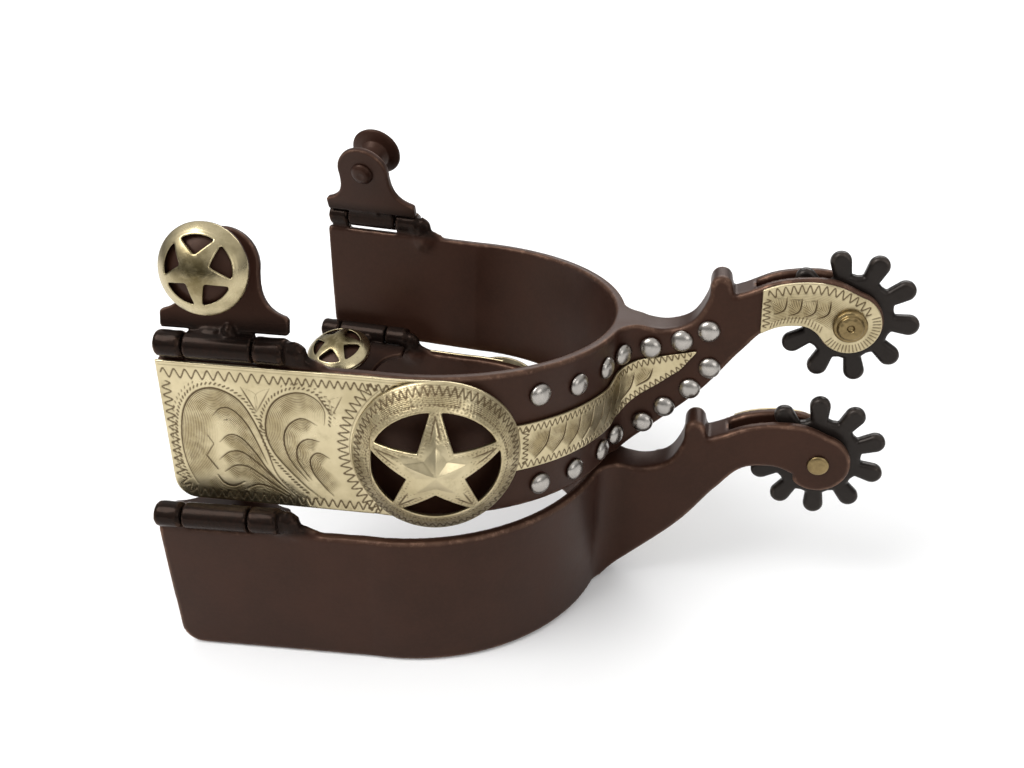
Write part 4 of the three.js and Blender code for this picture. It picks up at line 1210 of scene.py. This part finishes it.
# Blender adds a number to a name that one of the frame's own materials already has.
LOOKS = {material.name.split(".")[0]: material for material in (
    browned_steel("browned_steel", (0.032, 0.0125, 0.0078), (0.14, 0.08, 0.055)),
    browned_steel("rowel_iron", (0.0105, 0.008, 0.007), (0.1, 0.08, 0.068), 0.07, (1.0, 0.9, 0.82)),
    browned_steel("pin_steel", (0.015, 0.01, 0.008), (0.1, 0.08, 0.07)),
    brass("engraved_brass", (0.66, 0.565, 0.36), (0.38, 0.305, 0.165), (0.1, 0.065, 0.035)),
    # Its tarnish and cut colours also paint the shade in the star cap's middle.
    brass("button_brass", (0.62, 0.53, 0.33), (0.21, 0.165, 0.08), (0.13, 0.1, 0.045), 0.2),
    brass("pin_brass", (0.32, 0.235, 0.11), (0.11, 0.075, 0.035), (0.05, 0.03, 0.02)),
    silver("stud_silver"),
)}


# ---- Where each spur stands, from the frame's joints ----

PIVOTS = {joint["name"]: joint.get("pos_m") for joint in frame["joints"]}
AXES = {joint["name"]: joint["axis"] for joint in frame["joints"]}


def spur_matrix(name):
    """The spur's own frame, in millimetres, to the row frame in metres."""
    rowel_at = Vector(PIVOTS[name + "_rowel_spin"])
    outer = Vector(PIVOTS[name + "_outer_button_swing"])
    inner = Vector(PIVOTS[name + "_inner_button_swing"])
    across = (inner - outer).normalized()
    way = rowel_at - (outer + inner) / 2
    way = (way - across * way.dot(across)).normalized()
    up = way.cross(across)
    if up.z < 0:
        up = -up
    tilt = math.atan2(ROWEL_Z - HINGE_Z, ROWEL_X - HINGE_AT[0])
    x = way * math.cos(tilt) - up * math.sin(tilt)
    z = way * math.sin(tilt) + up * math.cos(tilt)
    turn = Matrix((x, across, z)).transposed().to_4x4()
    origin = rowel_at - turn.to_3x3() @ (Vector((ROWEL_X, 0, ROWEL_Z)) * MM)
    return Matrix.Translation(origin) @ turn @ Matrix.Scale(MM, 4)


def hinge_matrix(side, lean):
    """The hinge frame of one arm with its tab at the given lean, in the spur's frame."""
    mirror = Matrix.Diagonal((1, 1 if side == "outer" else -1, 1, 1))
    place = Matrix.Translation((HINGE_AT[0], HINGE_AT[1], HINGE_Z))
    return mirror @ place @ Matrix.Rotation(ARM_ANGLE, 4, "Z") @ Matrix.Rotation(-math.radians(lean), 4, "X")


def stud_matrix(s, z):
    """A stud's place on the skin, standing a little further off in the fillet."""
    in_fillet = FILLET_FROM - STUD_RADIUS < s < FILLET_TO + STUD_RADIUS
    off = STUD_STANDOFF_IN_FILLET if in_fillet else STUD_STANDOFF
    x, y, height = on_skin(np.array([[s, z, off]]))[0]
    along = skin_point(s + 0.4) - skin_point(s - 0.4)
    turn = math.atan2(along[1], along[0]) + math.pi
    return Matrix.Translation((x, y, height)) @ Matrix.Rotation(turn, 4, "Z")


def place(node, shape, matrix, body, slot):
    """Makes the fine piece that stands for a CAD node, with its points in the row frame."""
    world = np.array(matrix)
    points = shape.points @ world[:3, :3].T + world[:3, 3]
    faces = shape.faces.tolist() if isinstance(shape.faces, np.ndarray) else shape.faces
    if matrix.determinant() < 0:
        faces = [face[::-1] for face in faces]
    mesh = bpy.data.meshes.new(node + "_fine")
    mesh.from_pydata(points.tolist(), [], faces)
    for name, values in shape.attributes.items():
        layer = mesh.attributes.new(name, "FLOAT", "POINT")
        layer.data.foreach_set("value", np.asarray(values, np.float32))
    mesh.shade_smooth()
    mesh.materials.append(LOOKS[slot])
    piece = bpy.data.objects.new(node + "_fine", mesh)
    bpy.context.scene.collection.objects.link(piece)
    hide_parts(node)
    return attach(piece, body)


def build_spurs():
    made = {
        "heel_band": heel_band(), "band_overlay": band_overlay(), "leaf_overlay": leaf_overlay(),
        "neck_overlay": neck_overlay(), "star_concho": star_concho(),
    }
    dome, wheel, wheel_pin, pin, plate = stud(), rowel(), rowel_pin(), hinge_pin(), tab()
    buttons = {"outer": button(**STAR_BUTTON), "inner": button(**PLAIN_BUTTON)}
    cap = star_cap()
    at_rowel = Matrix.Translation((ROWEL_X, 0, ROWEL_Z))
    for name in ("left", "right"):
        spur, body = spur_matrix(name), name + "_spur"
        for part, shape in made.items():
            slot = "browned_steel" if part == "heel_band" else "engraved_brass"
            place(f"{name}_{part}", shape, spur, body, slot)
        for row, studs in (("upper", STUDS_UPPER), ("lower", STUDS_LOWER)):
            for number, (s, z) in enumerate(studs, 1):
                place(f"{name}_stud_{row}_{number}", dome, spur @ stud_matrix(s, z), body, "stud_silver")
        turn = Matrix.Rotation(-math.radians(TOOTH_ANGLE[name]), 4, "Y")
        place(f"{name}_rowel", wheel, spur @ at_rowel @ turn, name + "_rowel_wheel", "rowel_iron")
        place(f"{name}_rowel_pin", wheel_pin, spur @ at_rowel, body, "pin_brass")
        for side in ("outer", "inner"):
            place(f"{name}_{side}_hinge_pin", pin, spur @ hinge_matrix(side, 0), body, "pin_steel")
            swung = spur @ hinge_matrix(side, LEAN[f"{name}_{side}"])
            strap = f"{name}_{side}_strap_button"
            place(f"{name}_{side}_tab", plate, swung, strap, "browned_steel")
            place(f"{name}_{side}_button", buttons[side], swung, strap, "browned_steel")
            if side == "outer":
                place(f"{name}_outer_star_cap", cap, swung, strap, "button_brass")


# ---- Stage, lights and camera ----

GLOW_FROM, GLOW_TO = 0.1, 0.8
GLOW_NEAR, GLOW_FAR = 0.1, 0.5
TENT_FROM, TENT_TO = 0.05, 0.6
TENT_HORIZON, TENT_TOP = 0.08, 0.8
KEY_WATTS, FILL_WATTS, BACK_WATTS = 5.0, 1.2, 3.0


def floor():
    """White paper. Only the camera sees its glow, which keeps the paper white away from the lamps."""
    bpy.ops.mesh.primitive_plane_add(size=120, location=(0, 0, CAD_BOUNDS[0].z - 0.0002))
    ground = bpy.context.object
    ground.name = "floor"
    look = Look(bpy.data.materials.new("floor_paper"))
    paper = look.blend(look.ramp(look.noise(300, 2), 0.3, 0.7), (0.88, 0.88, 0.88), (0.91, 0.91, 0.91))
    far = look.add("ShaderNodeVectorMath", {0: look.places["Object"]}, operation="LENGTH").outputs["Value"]
    seen = look.add("ShaderNodeLightPath").outputs["Is Camera Ray"]
    glow = look.times(seen, look.ramp(far, GLOW_FROM, GLOW_TO, GLOW_NEAR, GLOW_FAR))
    ground.data.materials.append(look.finish(
        Base_Color=paper, Roughness=0.95, Specular_IOR_Level=0.0,
        Emission_Color=(1.0, 1.0, 1.0), Emission_Strength=glow,
    ))


def soft_light(name, place, target, size, watts):
    data = bpy.data.lights.new(name, "AREA")
    data.shape = "RECTANGLE"
    data.size, data.size_y = size
    data.energy = watts
    lamp = bpy.data.objects.new(name, data)
    bpy.context.scene.collection.objects.link(lamp)
    lamp.location = place
    lamp.rotation_euler = (Vector(target) - Vector(place)).to_track_quat("-Z", "Y").to_euler()


def studio():
    """A light tent: bright overhead and dim towards the horizon. The camera itself sees white."""
    world = bpy.data.worlds.new("studio")
    bpy.context.scene.world = world
    tent = Look(world, "Background")
    height = tent.add("ShaderNodeSeparateXYZ", {0: tent.places["Generated"]}).outputs["Z"]
    lit = tent.ramp(height, TENT_FROM, TENT_TO, TENT_HORIZON, TENT_TOP, "LINEAR")
    seen = tent.add("ShaderNodeLightPath").outputs["Is Camera Ray"]
    tent.finish(Color=(1, 1, 1), Strength=tent.math("MAXIMUM", lit, seen))
    centre = (CAD_BOUNDS[0] + CAD_BOUNDS[1]) / 2
    soft_light("key", (-0.45, -0.35, 0.75), centre, (0.5, 0.5), KEY_WATTS)
    soft_light("fill", (0.6, -0.7, 0.4), centre, (0.5, 0.4), FILL_WATTS)
    soft_light("back", (0.1, 0.8, 0.6), centre, (0.8, 0.3), BACK_WATTS)
    bpy.context.scene.view_settings.view_transform = "Standard"


CAMERA_PLACE = Vector((30.7, -211.2, 160.9)) * MM
CAMERA_AZIMUTH = 11.54
CAMERA_ELEVATION = 28.29
FOCAL_LENGTH = 33.54


def camera():
    """The camera's angles are measured on the band of the right spur, which sits tilted on the floor."""
    seat = AXES["right_rowel_spin"]
    tilt = Matrix.Rotation(math.atan2(seat[2], abs(seat[1])), 3, "X")
    azimuth, elevation = math.radians(CAMERA_AZIMUTH), math.radians(CAMERA_ELEVATION)
    level = math.cos(elevation)
    back = Vector((math.sin(azimuth) * level, -math.cos(azimuth) * level, math.sin(elevation)))
    right = Vector((math.cos(azimuth), math.sin(azimuth), 0))
    turn = tilt @ Matrix((right, back.cross(right), back)).transposed()
    data = bpy.data.cameras.new("camera")
    data.lens, data.sensor_width = FOCAL_LENGTH, 36
    data.clip_start = 0.01
    eye = bpy.data.objects.new("camera", data)
    bpy.context.scene.collection.objects.link(eye)
    eye.matrix_world = Matrix.Translation(CAMERA_PLACE) @ turn.to_4x4()
    bpy.context.scene.camera = eye


build_spurs()
floor()
studio()
camera()
